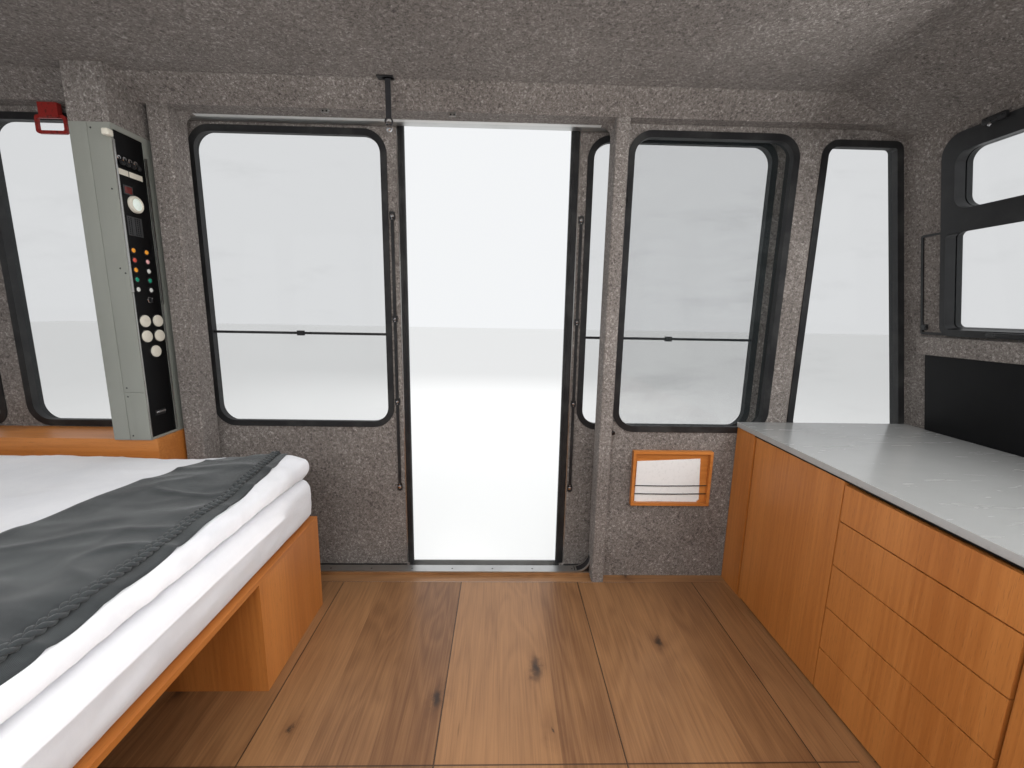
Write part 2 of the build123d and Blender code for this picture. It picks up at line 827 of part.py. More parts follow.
def floor_layer(low, high, half):
    """A flat layer of the floor between the end walls."""
    outline = polygon(
        (-end_x(low), low), (end_x(low), low), (end_x(high), high), (-end_x(high), high)
    )
    return across(outline, -half, half)


def floor_boards():
    """The boards inside their border, with a groove along each seam."""
    boards = floor_layer(-BOARD_T, 0, POST_HALF)
    low = -BOARD_T - CLEAR
    boards -= block(BORDER_X, FRONT_X, -POST_HALF, POST_HALF, low, CLEAR)
    boards -= block(BORDER_X - GROOVE, BORDER_X, -POST_HALF, POST_HALF, -GROOVE, CLEAR)
    first = math.ceil((-END_FOOT - BOARD_FIRST) / BOARD_PITCH)
    last = math.floor((END_FOOT - BOARD_FIRST) / BOARD_PITCH)
    for number in range(first, last + 1):
        seam = BOARD_FIRST + number * BOARD_PITCH
        boards -= block(
            seam - GROOVE / 2, seam + GROOVE / 2, -POST_HALF, POST_HALF, -GROOVE, CLEAR
        )
    reach = end_x(-BOARD_T) + CLEAR
    edge = block(-reach, reach, POST_HALF - GROOVE, POST_HALF, -GROOVE, CLEAR)
    return boards - edge - flip_y(edge)


def border_boards():
    """The flat boards along both side walls and along the counter's front."""
    layer = floor_layer(-BOARD_T, 0, LINING_HALF)
    reach = end_x(-BOARD_T) + CLEAR
    low = -BOARD_T - CLEAR
    strip = layer - block(-reach, reach, -LINING_HALF - CLEAR, POST_HALF, low, CLEAR)
    by_counter = block(BORDER_X, FRONT_X, -POST_HALF, POST_HALF, -BOARD_T, 0)
    return [strip, flip_y(strip), by_counter]


# Door gear


def track():
    """The beam over a pair of leaves, with the channel that their rollers run in."""
    inner = TRACK_HALF - TRACK_T
    far = HEADER_Y + TRACK_W
    channel = block(-TRACK_HALF, TRACK_HALF, HEADER_Y, far, TRACK_LOW, TRACK_TOP)
    channel -= block(
        -inner, inner, HEADER_Y, far - TRACK_T, TRACK_LOW + TRACK_T, TRACK_TOP - TRACK_T
    )
    channel -= block(
        -inner,
        inner,
        LEAF_MID - SLOT_W / 2,
        LEAF_MID + SLOT_W / 2,
        TRACK_LOW - CLEAR,
        TRACK_LOW + TRACK_T + CLEAR,
    )
    return channel + block(-TRACK_HALF, TRACK_HALF, SKIN_HALF, HEADER_Y, SOFFIT_Z, TRACK_TOP)


def sill():
    """The threshold, the rail below it and the channel that keeps the leaves' feet in line."""
    lip = LEAF_BACK + LIP_GAP
    channel_z = LEAF_LOW - FOOT_GAP
    outline = polygon(
        (SKIN_HALF, WALL_LOW),
        (lip + FOOT_T, WALL_LOW),
        (lip + FOOT_T, channel_z + LIP_H),
        (lip, channel_z + LIP_H),
        (lip, channel_z),
        (HEADER_Y, channel_z),
        (HEADER_Y, -SILL_RAIL_DROP),
        (SKIN_HALF, -SILL_RAIL_DROP),
    )
    rail = along(outline, -TRACK_HALF, TRACK_HALF)
    near = LINING_HALF - SILL_PROUD
    far = SKIN_HALF + SILL_LIP_T
    plate = block(-POST_IN, POST_IN, near, far, SILL_LOW, SILL_TOP)
    return rail + plate + block(-POST_IN, POST_IN, SKIN_HALF, far, -SILL_RAIL_DROP, SILL_TOP)


def hanger_places():
    """Where a closed right-hand leaf hangs, along X."""
    width = LEAF_TRAIL - LEAF_LEAD
    return (LEAF_LEAD + HANGER_SHARE * width, LEAF_TRAIL - HANGER_SHARE * width)


def leaf_panel():
    """The right-hand leaf in its closed place: a panel with its window cut and two hangers."""
    panel = block(PANEL_X_LOW, PANEL_X_HIGH, LEAF_Y, LEAF_BACK, LEAF_LOW, LEAF_HIGH)
    panel -= across(leaf_outline(0), LEAF_Y - CLEAR, LEAF_BACK + CLEAR)
    low_y = LEAF_MID - HANGER_T / 2
    high_y = LEAF_MID + HANGER_T / 2
    for x in hanger_places():
        hanger = block(
            x - HANGER_W / 2,
            x + HANGER_W / 2,
            low_y,
            high_y,
            LEAF_HIGH - CLEAR,
            ROLLER_Z + HANGER_END,
        )
        panel += hanger - rod_y(x, ROLLER_Z, low_y - CLEAR, high_y + CLEAR, AXLE_R + AXLE_GAP)
    return panel


def leaf_glass():
    """The pane of the right-hand leaf."""
    return across(leaf_outline(-GLASS_BITE), LEAF_MID - GLASS_T / 2, LEAF_MID + GLASS_T / 2)


def window_bar():
    """The black bar across a leaf's pane, with the catch in its middle."""
    low_x = PANEL_X_LOW + LEAD_STILE
    high_x = PANEL_X_HIGH - TRAIL_STILE
    middle = (low_x + high_x) / 2
    face = LEAF_MID - GLASS_T / 2
    bar = block(
        low_x + GLASS_BITE,
        high_x - GLASS_BITE,
        face - BAR_T,
        face,
        BAR_Z - BAR_H / 2,
        BAR_Z + BAR_H / 2,
    )
    return bar + block(
        middle - CATCH_W / 2,
        middle + CATCH_W / 2,
        face - CATCH_T,
        face,
        BAR_Z - CATCH_H / 2,
        BAR_Z + CATCH_H / 2,
    )


def edge_rubbers():
    """The bulb on a leaf's leading edge and the strip on its trailing edge."""
    low_y = LEAF_Y + EDGE_INSET
    high_y = LEAF_BACK - EDGE_INSET
    low_z = LEAF_LOW + EDGE_END
    high_z = LEAF_HIGH - EDGE_END
    lead = block(LEAF_LEAD, PANEL_X_LOW, low_y, high_y, low_z, high_z)
    lead = fillet(lead.edges().filter_by(Axis.Z).group_by(Axis.X)[0], EDGE_R)
    return [lead, block(PANEL_X_HIGH, LEAF_TRAIL, low_y, high_y, low_z, high_z)]


def lock_rod():
    """The flat rod on a leaf's inner face, with its four clips."""
    x = LEAF_LEAD + ROD_IN
    far = LEAF_Y - ROD_GAP
    near = far - ROD_T
    bar = block(x - ROD_W / 2, x + ROD_W / 2, near, far, ROD_LOW, ROD_HIGH)
    for z in ROD_CLIPS:
        bar += block(
            x - CLIP_W / 2, x + CLIP_W / 2, near, LEAF_Y, z - CLIP_H / 2, z + CLIP_H / 2
        )
    return bar


def roller_pairs():
    """Two rollers on an axle for each hanger of a leaf."""
    spools = []
    inner = HANGER_T / 2 + ROLLER_GAP
    outer = inner + ROLLER_W
    for x in hanger_places():
        spool = rod_y(x, ROLLER_Z, LEAF_MID - outer, LEAF_MID + outer, AXLE_R)
        spool += rod_y(x, ROLLER_Z, LEAF_MID - outer, LEAF_MID - inner, ROLLER_R)
        spool += rod_y(x, ROLLER_Z, LEAF_MID + inner, LEAF_MID + outer, ROLLER_R)
        spools.append(spool)
    return spools


def leaf_fittings():
    """A leaf's black parts: window rubber with its bar, edge rubbers, lock rod, rollers."""
    ring = seal(leaf_outline, LEAF_Y, LEAF_BACK, leaf_glass()) + window_bar()
    return [ring, *edge_rubbers(), lock_rod(), *roller_pairs()]


def placed(shape, leaf):
    """A piece of the closed right-hand leaf, moved to another leaf's place."""
    moved = Pos(leaf.open_by, 0, 0) * shape
    if leaf.left:
        moved = flip_x(moved)
    if leaf.back:
        moved = flip_y(moved)
    return moved


# End windows


def end_outline(grow):
    """The hole of the right end window, on the leaning wall."""
    half = END_WIN_HALF + grow
    low = up(END_WIN_LOW) - grow
    high = up(END_WIN_HIGH) + grow
    points = ((-half, low), (half, low), (half, high), (-half, high))
    radii = (SILL_R + grow, SILL_R + grow, HEAD_R + grow, HEAD_R + grow)
    return make_face(FilletPolyline(*points, radius=radii, close=True))


def vent_hole(grow):
    """Upper pane's outline on the end wall."""
    half = END_WIN_HALF - VENT_STILE + grow
    low = up(TRANSOM_LOW + TRANSOM_H) - grow
    return rounded(-half, half, low, up(END_WIN_HIGH - VENT_RAIL) + grow, VENT_R + grow)


def lower_hole(grow):
    """Lower pane's outline on the end wall."""
    half = END_WIN_HALF - END_STILE + grow
    low = up(END_WIN_LOW + END_RAIL) - grow
    return rounded(-half, half, low, up(TRANSOM_LOW) + grow, SILL_R - END_STILE + grow)


def end_trim(grow):
    """Outline of the stepped trim round the lower pane."""
    half = LEDGE_HALF + grow
    low = up(LEDGE_HIGH + TRIM_LOW) - grow
    return rounded(-half, half, low, up(TRANSOM_LOW + TRIM_HIGH) + grow, TRIM_R + grow)


def end_panes():
    """Both panes of the right end window."""
    face = WALL_T / 2
    holes = (vent_hole(PANE_BITE), lower_hole(PANE_BITE))
    return [on_end(hole, -face, face + GLASS_T) for hole in holes]


def end_frame():
    """The black frame of the right end window, with its transom and outer trim."""
    lip = end_outline(FRAME_LIP)
    frame = on_end(end_outline(0), 0, WALL_T)
    frame += on_end(lip, FRAME_PROUD, 0)
    frame += on_end(lip, -WALL_T, WALL_T + FRAME_OUT)
    frame += on_end(end_trim(0) - end_trim(-TRIM_W), TRIM_T, 0)
    for hole in (vent_hole(0), lower_hole(0)):
        frame -= on_end(hole, FRAME_PROUD + CLEAR, WALL_T + FRAME_OUT + CLEAR)
    for pane in end_panes():
        frame -= pane
    return frame


# Console beside the door


class Dial(NamedTuple):
    """A round control: its place on the instrument plate, its radius and how far it stands out."""

    across: float  # from the plate's near edge
    height: float  # from the plate's foot, or from its head if negative
    radius: float
    proud: float


class Key(NamedTuple):
    """A square control or a strip: its place on the plate, its size and how far it stands out."""

    across: float
    height: float
    width: float
    tall: float
    proud: float


LAMP_ROWS = (638.0, 678.5, 717.5, 757.0, 796.0)
LAMP_PLACES = (25.0, 90.0)
LAMPS = tuple(Dial(place, row, 11.0, 7.0) for row in LAMP_ROWS for place in LAMP_PLACES)
DIALS = (
    *LAMPS,
    Dial(65.0, -266.0, 31.0, 9.0),
    Dial(79.0, 596.0, 11.0, 9.0),
    Dial(38.0, 506.0, 25.0, 9.0),
    Dial(105.0, 506.0, 25.0, 9.0),
    Dial(38.0, 441.0, 25.0, 9.0),
    Dial(105.0, 441.0, 25.0, 9.0),
    Dial(75.0, 374.0, 25.0, 9.0),
)
TOGGLE_FIRST = 14.0
TOGGLE_PITCH = 26.0
TOGGLE_COUNT = 4
TOGGLES = tuple(
    Key(TOGGLE_FIRST + TOGGLE_PITCH * number, -99.0, 16.0, 30.0, 14.0)
    for number in range(TOGGLE_COUNT)
)
KEYS = (
    *TOGGLES,
    Key(27.0, -151.0, 50.0, 22.0, 3.0),
    Key(88.0, -151.0, 64.0, 22.0, 3.0),
    Key(41.0, -216.0, 34.0, 28.0, 3.0),
    Key(61.0, 105.0, 42.0, 12.0, 12.0),
)


def on_plate(height):
    """Height above the floor of a control, from the plate's foot or head."""
    return PANEL_LOW + height if height > 0 else PANEL_HIGH + height


def console_housing():
    """The sheet-metal column, open towards the door for its instrument panel."""
    housing = block(
        CONSOLE_LEFT, CONSOLE_FACE, CONSOLE_FRONT, CONSOLE_REAR, LOCKER_TOP, CONSOLE_TOP
    )
    housing -= block(
        CONSOLE_LEFT + CONSOLE_SHEET,
        CONSOLE_FACE - CONSOLE_RIM,
        CONSOLE_FRONT + CONSOLE_SHEET,
        CONSOLE_REAR - CONSOLE_SHEET,
        LOCKER_TOP + CONSOLE_SHEET,
        CONSOLE_TOP - CONSOLE_SHEET,
    )
    return housing - block(
        CONSOLE_FACE - CONSOLE_RIM - CLEAR,
        CONSOLE_FACE + CLEAR,
        PANEL_NEAR,
        PANEL_FAR,
        PANEL_LOW,
        PANEL_HIGH,
    )


def console_panel():
    """The black instrument plate."""
    return block(PANEL_X - PANEL_T, PANEL_X, PANEL_NEAR, PANEL_FAR, PANEL_LOW, PANEL_HIGH)


def console_controls():
    """Lamps, gauge, key switch, buttons, toggles, label strips and display on the plate."""
    items = []
    for dial in DIALS:
        y = PANEL_NEAR + dial.across
        items.append(rod_x(y, on_plate(dial.height), PANEL_X, PANEL_X + dial.proud, dial.radius))
    for key in KEYS:
        y = PANEL_NEAR + key.across
        z = on_plate(key.height)
        items.append(
            block(
                PANEL_X,
                PANEL_X + key.proud,
                y - key.width / 2,
                y + key.width / 2,
                z - key.tall / 2,
                z + key.tall / 2,
            )
        )
    return items


def console_head(ceiling_lining):
    """The felt-covered box between the metal column and the ceiling."""
    back = LINING_HALF - SEAL_LIP_T - CLEAR
    head = block(CONSOLE_LEFT, CONSOLE_FACE, CONSOLE_FRONT, back, CONSOLE_TOP, CEILING_Z)
    return head - ceiling_lining


def window_locker():
    """The open-fronted locker under the window, whose top carries the console."""
    right = -POST_IN - POST_W_CONSOLE - LOCKER_GAP
    far = LINING_HALF - LOCKER_BACK
    near = far - LOCKER_D
    outline = polygon(
        (LOCKER_END - end_x(0), 0),
        (right, 0),
        (right, LOCKER_TOP),
        (LOCKER_END - end_x(LOCKER_TOP), LOCKER_TOP),
    )
    inside = block(
        -END_FOOT, right - PLY_T, near + PLY_T, far + CLEAR, -CLEAR, LOCKER_TOP - PLY_T
    )
    return across(outline, near, far) - inside


# Small fittings

def grab_loop():
    """The loop that hangs from the soffit over the window beside the console."""
    low = SOFFIT_Z - LOOP_DROP
    near = POST_HALF + LOOP_IN
    left = LOOP_X - LOOP_W / 2
    right = LOOP_X + LOOP_W / 2
    outline = rounded(left, right, low, low + LOOP_H, LOOP_R)
    outline -= rounded(
        left + LOOP_BAR,
        right - LOOP_BAR,
        low + LOOP_BAR,
        low + LOOP_H - LOOP_BAR,
        LOOP_R / 2,
    )
    middle = near + LOOP_T / 2
    foot = block(
        LOOP_X - LOOP_FOOT_W / 2,
        LOOP_X + LOOP_FOOT_W / 2,
        middle - LOOP_FOOT_T / 2,
        middle + LOOP_FOOT_T / 2,
        low + LOOP_H - LOOP_T,
        SOFFIT_Z,
    )
    return across(outline, near, near + LOOP_T) + foot


def ceiling_strap():
    """The short strap under the ceiling, with its plate, ring and ball."""
    y = POST_HALF - COVE_W - STRAP_PLATE_D / 2 - CLEAR
    ring_z = CEILING_Z - STRAP_L - RING_R
    strap = block(
        STRAP_X - STRAP_PLATE_W / 2,
        STRAP_X + STRAP_PLATE_W / 2,
        y - STRAP_PLATE_D / 2,
        y + STRAP_PLATE_D / 2,
        CEILING_Z - STRAP_PLATE_T,
        CEILING_Z,
    )
    strap += block(
        STRAP_X - STRAP_W / 2,
        STRAP_X + STRAP_W / 2,
        y - STRAP_T / 2,
        y + STRAP_T / 2,
        ring_z + RING_HOLE,
        CEILING_Z - CLEAR,
    )
    ring = rod_y(STRAP_X, ring_z, y - RING_T / 2, y + RING_T / 2, RING_R)
    ring -= rod_y(STRAP_X, ring_z, y - RING_T, y + RING_T, RING_HOLE)
    return strap + ring + Pos(STRAP_X, y, ring_z - RING_R - BALL_R + 2 * CLEAR) * Sphere(BALL_R)


def wall_hooks():
    """The coat hook on a post, the brackets under the soffit and the knob by the window."""
    back = LINING_HALF - COAT_HOOK_IN
    near = back - COAT_HOOK_W
    tip = POST_OUT + COAT_HOOK_L
    top = COAT_HOOK_Z + COAT_HOOK_H
    hook = block(POST_OUT, POST_OUT + COAT_HOOK_T, near, back, COAT_HOOK_Z, top)
    hook += block(POST_OUT, tip, near, back, COAT_HOOK_Z, COAT_HOOK_Z + COAT_HOOK_T)
    hook += block(
        tip - COAT_HOOK_T, tip, near, back, COAT_HOOK_Z, COAT_HOOK_Z + COAT_HOOK_H / 2
    )
    brackets = [
        block(
            x - BRACKET_W / 2,
            x + BRACKET_W / 2,
            POST_HALF,
            POST_HALF + BRACKET_D,
            SOFFIT_Z - BRACKET_H,
            SOFFIT_Z,
        )
        for x in BRACKET_PLACES
    ]
    knob_z = WINDOW_LOW - SEAL_LIP_W - KNOB_DROP
    knob = rod_y(POST_OUT + KNOB_IN, knob_z, LINING_HALF - KNOB_L, LINING_HALF, KNOB_R)
    return [hook, *brackets, knob]


def niche():
    """The shallow tray on the wall for leaflets, and the blank card in it."""
    left = POST_OUT + NICHE_FROM_POST
    right = FRONT_X - NICHE_FROM_COUNTER
    high = NICHE_LOW + NICHE_H
    near = LINING_HALF - NICHE_D
    tray = across(rounded(left, right, NICHE_LOW, high, NICHE_R), near, LINING_HALF)
    tray -= across(
        rounded(
            left + NICHE_RIM,
            right - NICHE_RIM,
            NICHE_LOW + NICHE_RIM,
            high - NICHE_RIM,
            NICHE_R / 2,
        ),
        near - CLEAR,
        LINING_HALF - NICHE_SKIN,
    )
    card_left = left + NICHE_RIM + CARD_MARGIN_LEFT
    card_right = right - NICHE_RIM - CARD_MARGIN_RIGHT
    foot = NICHE_LOW + NICHE_RIM
    back = LINING_HALF - NICHE_SKIN
    card = block(card_left, card_right, back - CARD_T, back, foot, foot + CARD_H)
    return tray, card


# Bed


def bed_boxes():
    """The two chests that carry the bed platform, open towards its head, and the head board."""
    left = BED_FOOT_X - CHEST_L
    chest = block(left, BED_FOOT_X, BED_FAR - CHEST_W, BED_FAR, 0, PLATFORM_LOW)
    chest -= block(
        left - CLEAR,
        BED_FOOT_X - PLY_T,
        BED_FAR - CHEST_W + PLY_T,
        BED_FAR - PLY_T,
        PLY_T,
        PLATFORM_LOW - PLY_T,
    )
    other = Pos(0, CHEST_W - BED_W, 0) * chest
    board_x = BED_HEAD_X - HEAD_BOARD_OUT
    board = block(board_x, board_x + PLY_T, BED_NEAR, BED_FAR, 0, PLATFORM_LOW)
    return [chest, other, board]


def bed_platform():
    """The veneered board that the mattress lies on."""
    left = PLATFORM_GAP - end_x(PLATFORM_LOW)
    return block(left, BED_FOOT_X, BED_NEAR, BED_FAR, PLATFORM_LOW, PLATFORM_LOW + PLY_T)


def soft_slab(outline, z_low, z_high, edge):
    """A soft slab with a rounded upper edge."""
    slab = Pos(0, 0, z_low) * extrude(outline, z_high - z_low)
    top = slab.faces().sort_by(Axis.Z)[-1].edges()
    return fillet(top, edge)


def mattress():
    """The mattress in its fitted sheet."""
    outline = rounded(
        BED_HEAD_X,
        BED_FOOT_X - MATTRESS_IN,
        BED_NEAR + MATTRESS_IN,
        BED_FAR - MATTRESS_IN,
        MATTRESS_CORNER_R,
    )
    low = PLATFORM_LOW + PLY_T + SOFT_GAP
    return soft_slab(outline, low, MATTRESS_TOP, MATTRESS_EDGE_R)


def duvet():
    """The duvet, a little wider than the mattress under it."""
    outline = rounded(
        BED_HEAD_X + DUVET_SHORT,
        BED_FOOT_X + DUVET_OUT,
        BED_NEAR - DUVET_OUT,
        BED_FAR + DUVET_FAR_OUT,
        DUVET_CORNER_R,
    )
    return soft_slab(outline, MATTRESS_TOP + SOFT_GAP, DUVET_TOP, DUVET_EDGE_R)


def throw():
    """The throw across the foot of the duvet, narrower where it is gathered at its far end."""
    far = BED_FAR - THROW_END_GAP
    knee = far - THROW_KNEE
    near = BED_NEAR + THROW_END_GAP
    foot = (
        (BED_FOOT_X - THROW_FAR_IN, far),
        (BED_FOOT_X - THROW_KNEE_IN, knee),
        (BED_FOOT_X - THROW_NEAR_IN, near),
    )
    head = (
        (BED_FOOT_X - THROW_NEAR_IN - THROW_NEAR_W, near),
        (BED_FOOT_X - THROW_KNEE_IN - THROW_KNEE_W, knee),
        (BED_FOOT_X - THROW_FAR_IN - THROW_FAR_W, far),
    )
    outline = polygon(*foot, *head)
    outline = fillet(outline.vertices(), THROW_CORNER_R)
    return soft_slab(outline, DUVET_TOP + SOFT_GAP, DUVET_TOP + THROW_T, THROW_EDGE_R)


# Counter


def pivot_y(door):
    """Where a counter door's pivots are along Y."""
    edge = door.far if door.hung > 0 else door.near
    return edge - door.hung * (FRONT_GAP / 2 + PIVOT_IN)


def pivots(door):
    """Both pins of a counter door and the plates that carry them."""
    y = pivot_y(door)
    wall_y = y + door.hung * (FRONT_GAP / 2 + PIVOT_IN + CLEAR)
    low_y, high_y = sorted((y - door.hung * PIVOT_PLATE_REACH, wall_y))
    high_x = CARCASS_X + PLY_T
    low_x = FRONT_X + CLEAR
    top = WORKTOP_LOW - PIVOT_PLATE_T
    gear = block(low_x, high_x, low_y, high_y, 0, PIVOT_PLATE_T)
    gear += block(low_x, high_x, low_y, high_y, top, WORKTOP_LOW)
    gear += rod(PIVOT_X, y, PIVOT_PLATE_T - CLEAR, PIVOT_L, PIVOT_R)
    return gear + rod(PIVOT_X, y, WORKTOP_LOW - PIVOT_L, top + CLEAR, PIVOT_R)


def counter_carcass():
    """Bottom, back, partitions, filler strips, drawer runners and door pivots."""
    bottom = block(CARCASS_X, COUNTER_BACK, -COUNTER_HALF, COUNTER_HALF, 0, PLY_T)
    back_x = COUNTER_BACK - PLY_T
    shell = bottom + block(
        back_x, COUNTER_BACK, -COUNTER_HALF, COUNTER_HALF, 0, WORKTOP_LOW
    )
    walls = (
        COUNTER_FAR + PLY_T / 2,
        DRAWERS_FAR,
        DRAWERS_NEAR,
        PAIR_MIDDLE,
        COUNTER_NEAR - PLY_T / 2,
    )
    for y in walls:
        shell += block(CARCASS_X, COUNTER_BACK, y - PLY_T / 2, y + PLY_T / 2, 0, WORKTOP_LOW)
    fillers = (
        (COUNTER_FAR + FILLER_REVEAL, COUNTER_HALF),
        (-COUNTER_HALF, COUNTER_NEAR - FILLER_REVEAL),
    )
    for low, high in fillers:
        shell += block(FRONT_X, CARCASS_X + CLEAR, low, high, 0, WORKTOP_LOW)
    runners = (
        (DRAWERS_FAR - PLY_T / 2 - RUNNER_W, DRAWERS_FAR - PLY_T / 2),
        (DRAWERS_NEAR + PLY_T / 2, DRAWERS_NEAR + PLY_T / 2 + RUNNER_W),
    )
    start = CARCASS_X + RUNNER_START
    for number in range(DRAWER_COUNT):
        top = drawer_low(number) + DRAWER_FOOT - RUN_GAP
        for low, high in runners:
            shell += block(start, start + DRAWER_DEPTH, low, high, top - RUNNER_H, top)
    for door in DOORS:
        shell += pivots(door)
    return shell


def drawer_low(number):
    """Lower edge of a drawer's front; number 0 is the lowest."""
    return FRONT_LOW + number * DRAWER_PITCH


def drawer(number):
    """One drawer: a veneered front with an open box behind it."""
    low = drawer_low(number)
    height = TOP_FRONT_H if number == DRAWER_COUNT - 1 else DRAWER_PITCH - FRONT_GAP
    near = DRAWERS.near + FRONT_GAP / 2
    far = DRAWERS.far - FRONT_GAP / 2
    face = FRONT_X + FRONT_T
    front = block(FRONT_X, face, near, far, low, low + height)
    back = face + DRAWER_DEPTH
    box_near = DRAWERS.near + DRAWER_SIDE
    box_far = DRAWERS.far - DRAWER_SIDE
    foot = low + DRAWER_FOOT
    box = block(face - CLEAR, back, box_near, box_far, foot, foot + DRAWER_H)
    box -= block(
        face + DRAWER_T,
        back - DRAWER_T,
        box_near + DRAWER_T,
        box_far - DRAWER_T,
        foot + DRAWER_BOTTOM,
        foot + DRAWER_H + CLEAR,
    )
    return front + box


def counter_door(door):
    """One hinged front of the counter, rounded at its pivots and bored for them."""
    near = door.near + FRONT_GAP / 2
    far = door.far - FRONT_GAP / 2
    leaf = block(FRONT_X, FRONT_X + FRONT_T, near, far, FRONT_LOW, FRONT_HIGH)
    at_pivots = leaf.edges().filter_by(Axis.Z).group_by(Axis.Y)[-1 if door.hung > 0 else 0]
    leaf = fillet(at_pivots, DOOR_EDGE_R)
    y = pivot_y(door)
    low_end = PIVOT_L + CLEAR
    high_end = WORKTOP_LOW - PIVOT_L - CLEAR
    leaf -= rod(PIVOT_X, y, FRONT_LOW - CLEAR, low_end, PIVOT_R + RUN_GAP)
    return leaf - rod(PIVOT_X, y, high_end, FRONT_HIGH + CLEAR, PIVOT_R + RUN_GAP)


def worktop():
    """The worktop, from the fronts to the leaning end wall."""
    nose = FRONT_X - WORKTOP_PROUD
    outline = polygon(
        (nose, WORKTOP_LOW),
        (end_x(WORKTOP_LOW) - CLEAR, WORKTOP_LOW),
        (end_x(WORKTOP_TOP) - CLEAR, WORKTOP_TOP),
        (nose, WORKTOP_TOP),
    )
    return across(outline, -COUNTER_HALF, COUNTER_HALF)


def splashback():
    """The black panel on the end wall between worktop and ledge."""
    half = LEDGE_HALF - SPLASH_SIDE
    low = up(WORKTOP_TOP) + SPLASH_FOOT
    return on_end(rounded(-half, half, low, up(LEDGE_LOW) - SPLASH_HEAD, SPLASH_R), SPLASH_T, 0)


# Suspension and underframe


def suspension():
    """The frame on the roof that the hanger's eye is pinned to."""
    low = ROOF_TOP + PAD_T
    high = low + BEAM_H
    beams = []
    for side in (-1, 1):
        y = side * BEAM_Y
        beams.append(block(-BEAM_HALF, BEAM_HALF, y - BEAM_W / 2, y + BEAM_W / 2, low, high))
        for x in CROSS_PLACES:
            pad = block(x - PAD_L / 2, x + PAD_L / 2, y - PAD_W / 2, y + PAD_W / 2, ROOF_TOP, low)
            beams.append(pad)
    for x in CROSS_PLACES:
        beams.append(block(x - BEAM_W / 2, x + BEAM_W / 2, -BEAM_Y, BEAM_Y, low, high))
    frame = Part() + beams
    foot = Pos(0, high + LUG_WEB / 2) * Rectangle(LUG_FOOT, LUG_WEB)
    profile = make_hull((Pos(0, BORE_Z) * Circle(LUG_R) + foot).edges())
    for side in (-1, 1):
        y = side * (LUG_GAP + LUG_T) / 2
        half = LUG_BEAM_W / 2
        frame += block(-LUG_BEAM_HALF, LUG_BEAM_HALF, y - half, y + half, low, high)
        frame += across(profile, y - LUG_T / 2, y + LUG_T / 2)
    return frame - rod_y(0, BORE_Z, -LUG_GAP, LUG_GAP, BORE_R)


def long_beams():
    """The four beams that run from headstock to headstock."""
    reach = end_x(WALL_LOW) - HEADSTOCK_W
    half = LONG_BEAM_W / 2
    places = (-OUTER_BEAM_Y, -LONG_BEAM_Y, LONG_BEAM_Y, OUTER_BEAM_Y)
    return [block(-reach, reach, y - half, y + half, FRAME_LOW, CROSS_LOW) for y in places]


def cross_beams():
    """The beams under the floor, some reaching out to the guide rails, and the headstocks."""
    reach = end_x(WALL_LOW)
    pitch = (reach - HEADSTOCK_W / 2) / HALF_BAYS
    beams = []
    for number in range(1 - HALF_BAYS, HALF_BAYS):
        x = number * pitch
        half = GUIDE_Y if number in OUTRIGGERS else OUTER_BEAM_Y + LONG_BEAM_W / 2
        beams.append(
            block(x - CROSS_BEAM_W / 2, x + CROSS_BEAM_W / 2, -half, half, CROSS_LOW, WALL_LOW)
        )
    half = OUTER_BEAM_Y + LONG_BEAM_W / 2
    headstock = block(reach - HEADSTOCK_W, reach, -half, half, FRAME_LOW, WALL_LOW)
    return [*beams, headstock, flip_x(headstock)]


def guide_rail():
    """The rail that steers the cabin into its berth."""
    low = WALL_LOW - RAIL_DROP
    return block(-RAIL_HALF, RAIL_HALF, GUIDE_Y, GUIDE_Y + RAIL_W, low, low + RAIL_H)


def buffer():
    """One rubber buffer on a headstock."""
    start = end_x(WALL_LOW)
    return rod_x(BUFFER_Y, (FRAME_LOW + WALL_LOW) / 2, start, start + BUFFER_L, BUFFER_R)


os.makedirs("parts", exist_ok=True)

# Body, floor and lining
front_wall = side_wall()
right_end = end_wall()
lining = ceiling()
save("wall_front", front_wall)
save("wall_back", flip_y(front_wall))
save("wall_right", right_end)
save("wall_left", flip_x(right_end))
save("roof_shell", roof())
save("ceiling_lining", lining)
save("floor_deck", floor_layer(WALL_LOW, -BOARD_T, LINING_HALF))
save("floor_boards", floor_boards())
save("border_boards", *border_boards())
save(
    "door_posts",
    post(),
    console_post(),
    flip_y(post()),
    flip_x(flip_y(post())),
    console_head(lining),
)

# Windows
side_panes = []
side_seals = []
for outline in (fixed_outline, corner_outline):
    side_pane = across(
        outline(-GLASS_BITE), GLASS_MID - GLASS_T / 2, GLASS_MID + GLASS_T / 2
    )
    side_panes += all_four(side_pane)
    side_seals += all_four(seal(outline, LINING_HALF, SKIN_HALF, side_pane))
save("side_window_glass", *side_panes)
save("side_window_seals", *side_seals)
frame_right = end_frame()
panes_right = end_panes()
save("end_window_frames", frame_right, flip_x(frame_right))
save("end_window_glass", *panes_right, *[flip_x(pane) for pane in panes_right])

# Doors
track_front = track()
sill_front = sill()
save("door_tracks", track_front, flip_y(track_front))
save("door_sills", sill_front, flip_y(sill_front))
panel = leaf_panel()
glass = leaf_glass()
fittings = leaf_fittings()
for leaf in LEAVES:
    save(f"{leaf.name}_panel", placed(panel, leaf))
    save(f"{leaf.name}_glass", placed(glass, leaf))
    save(f"{leaf.name}_fittings", *[placed(item, leaf) for item in fittings])

# Console and small fittings
save("console_housing", console_housing())
save("console_panel", console_panel())
save("console_controls", *console_controls())
save("window_locker", window_locker())
save("grab_loop", grab_loop())
save("ceiling_strap", ceiling_strap())
save("wall_hooks", *wall_hooks())
niche_tray, niche_card = niche()
save("niche_frame", niche_tray)
save("niche_card", niche_card)

# Bed
save("bed_boxes", *bed_boxes())
save("bed_platform", bed_platform())
save("mattress", mattress())
save("duvet", duvet())
save("throw", throw())

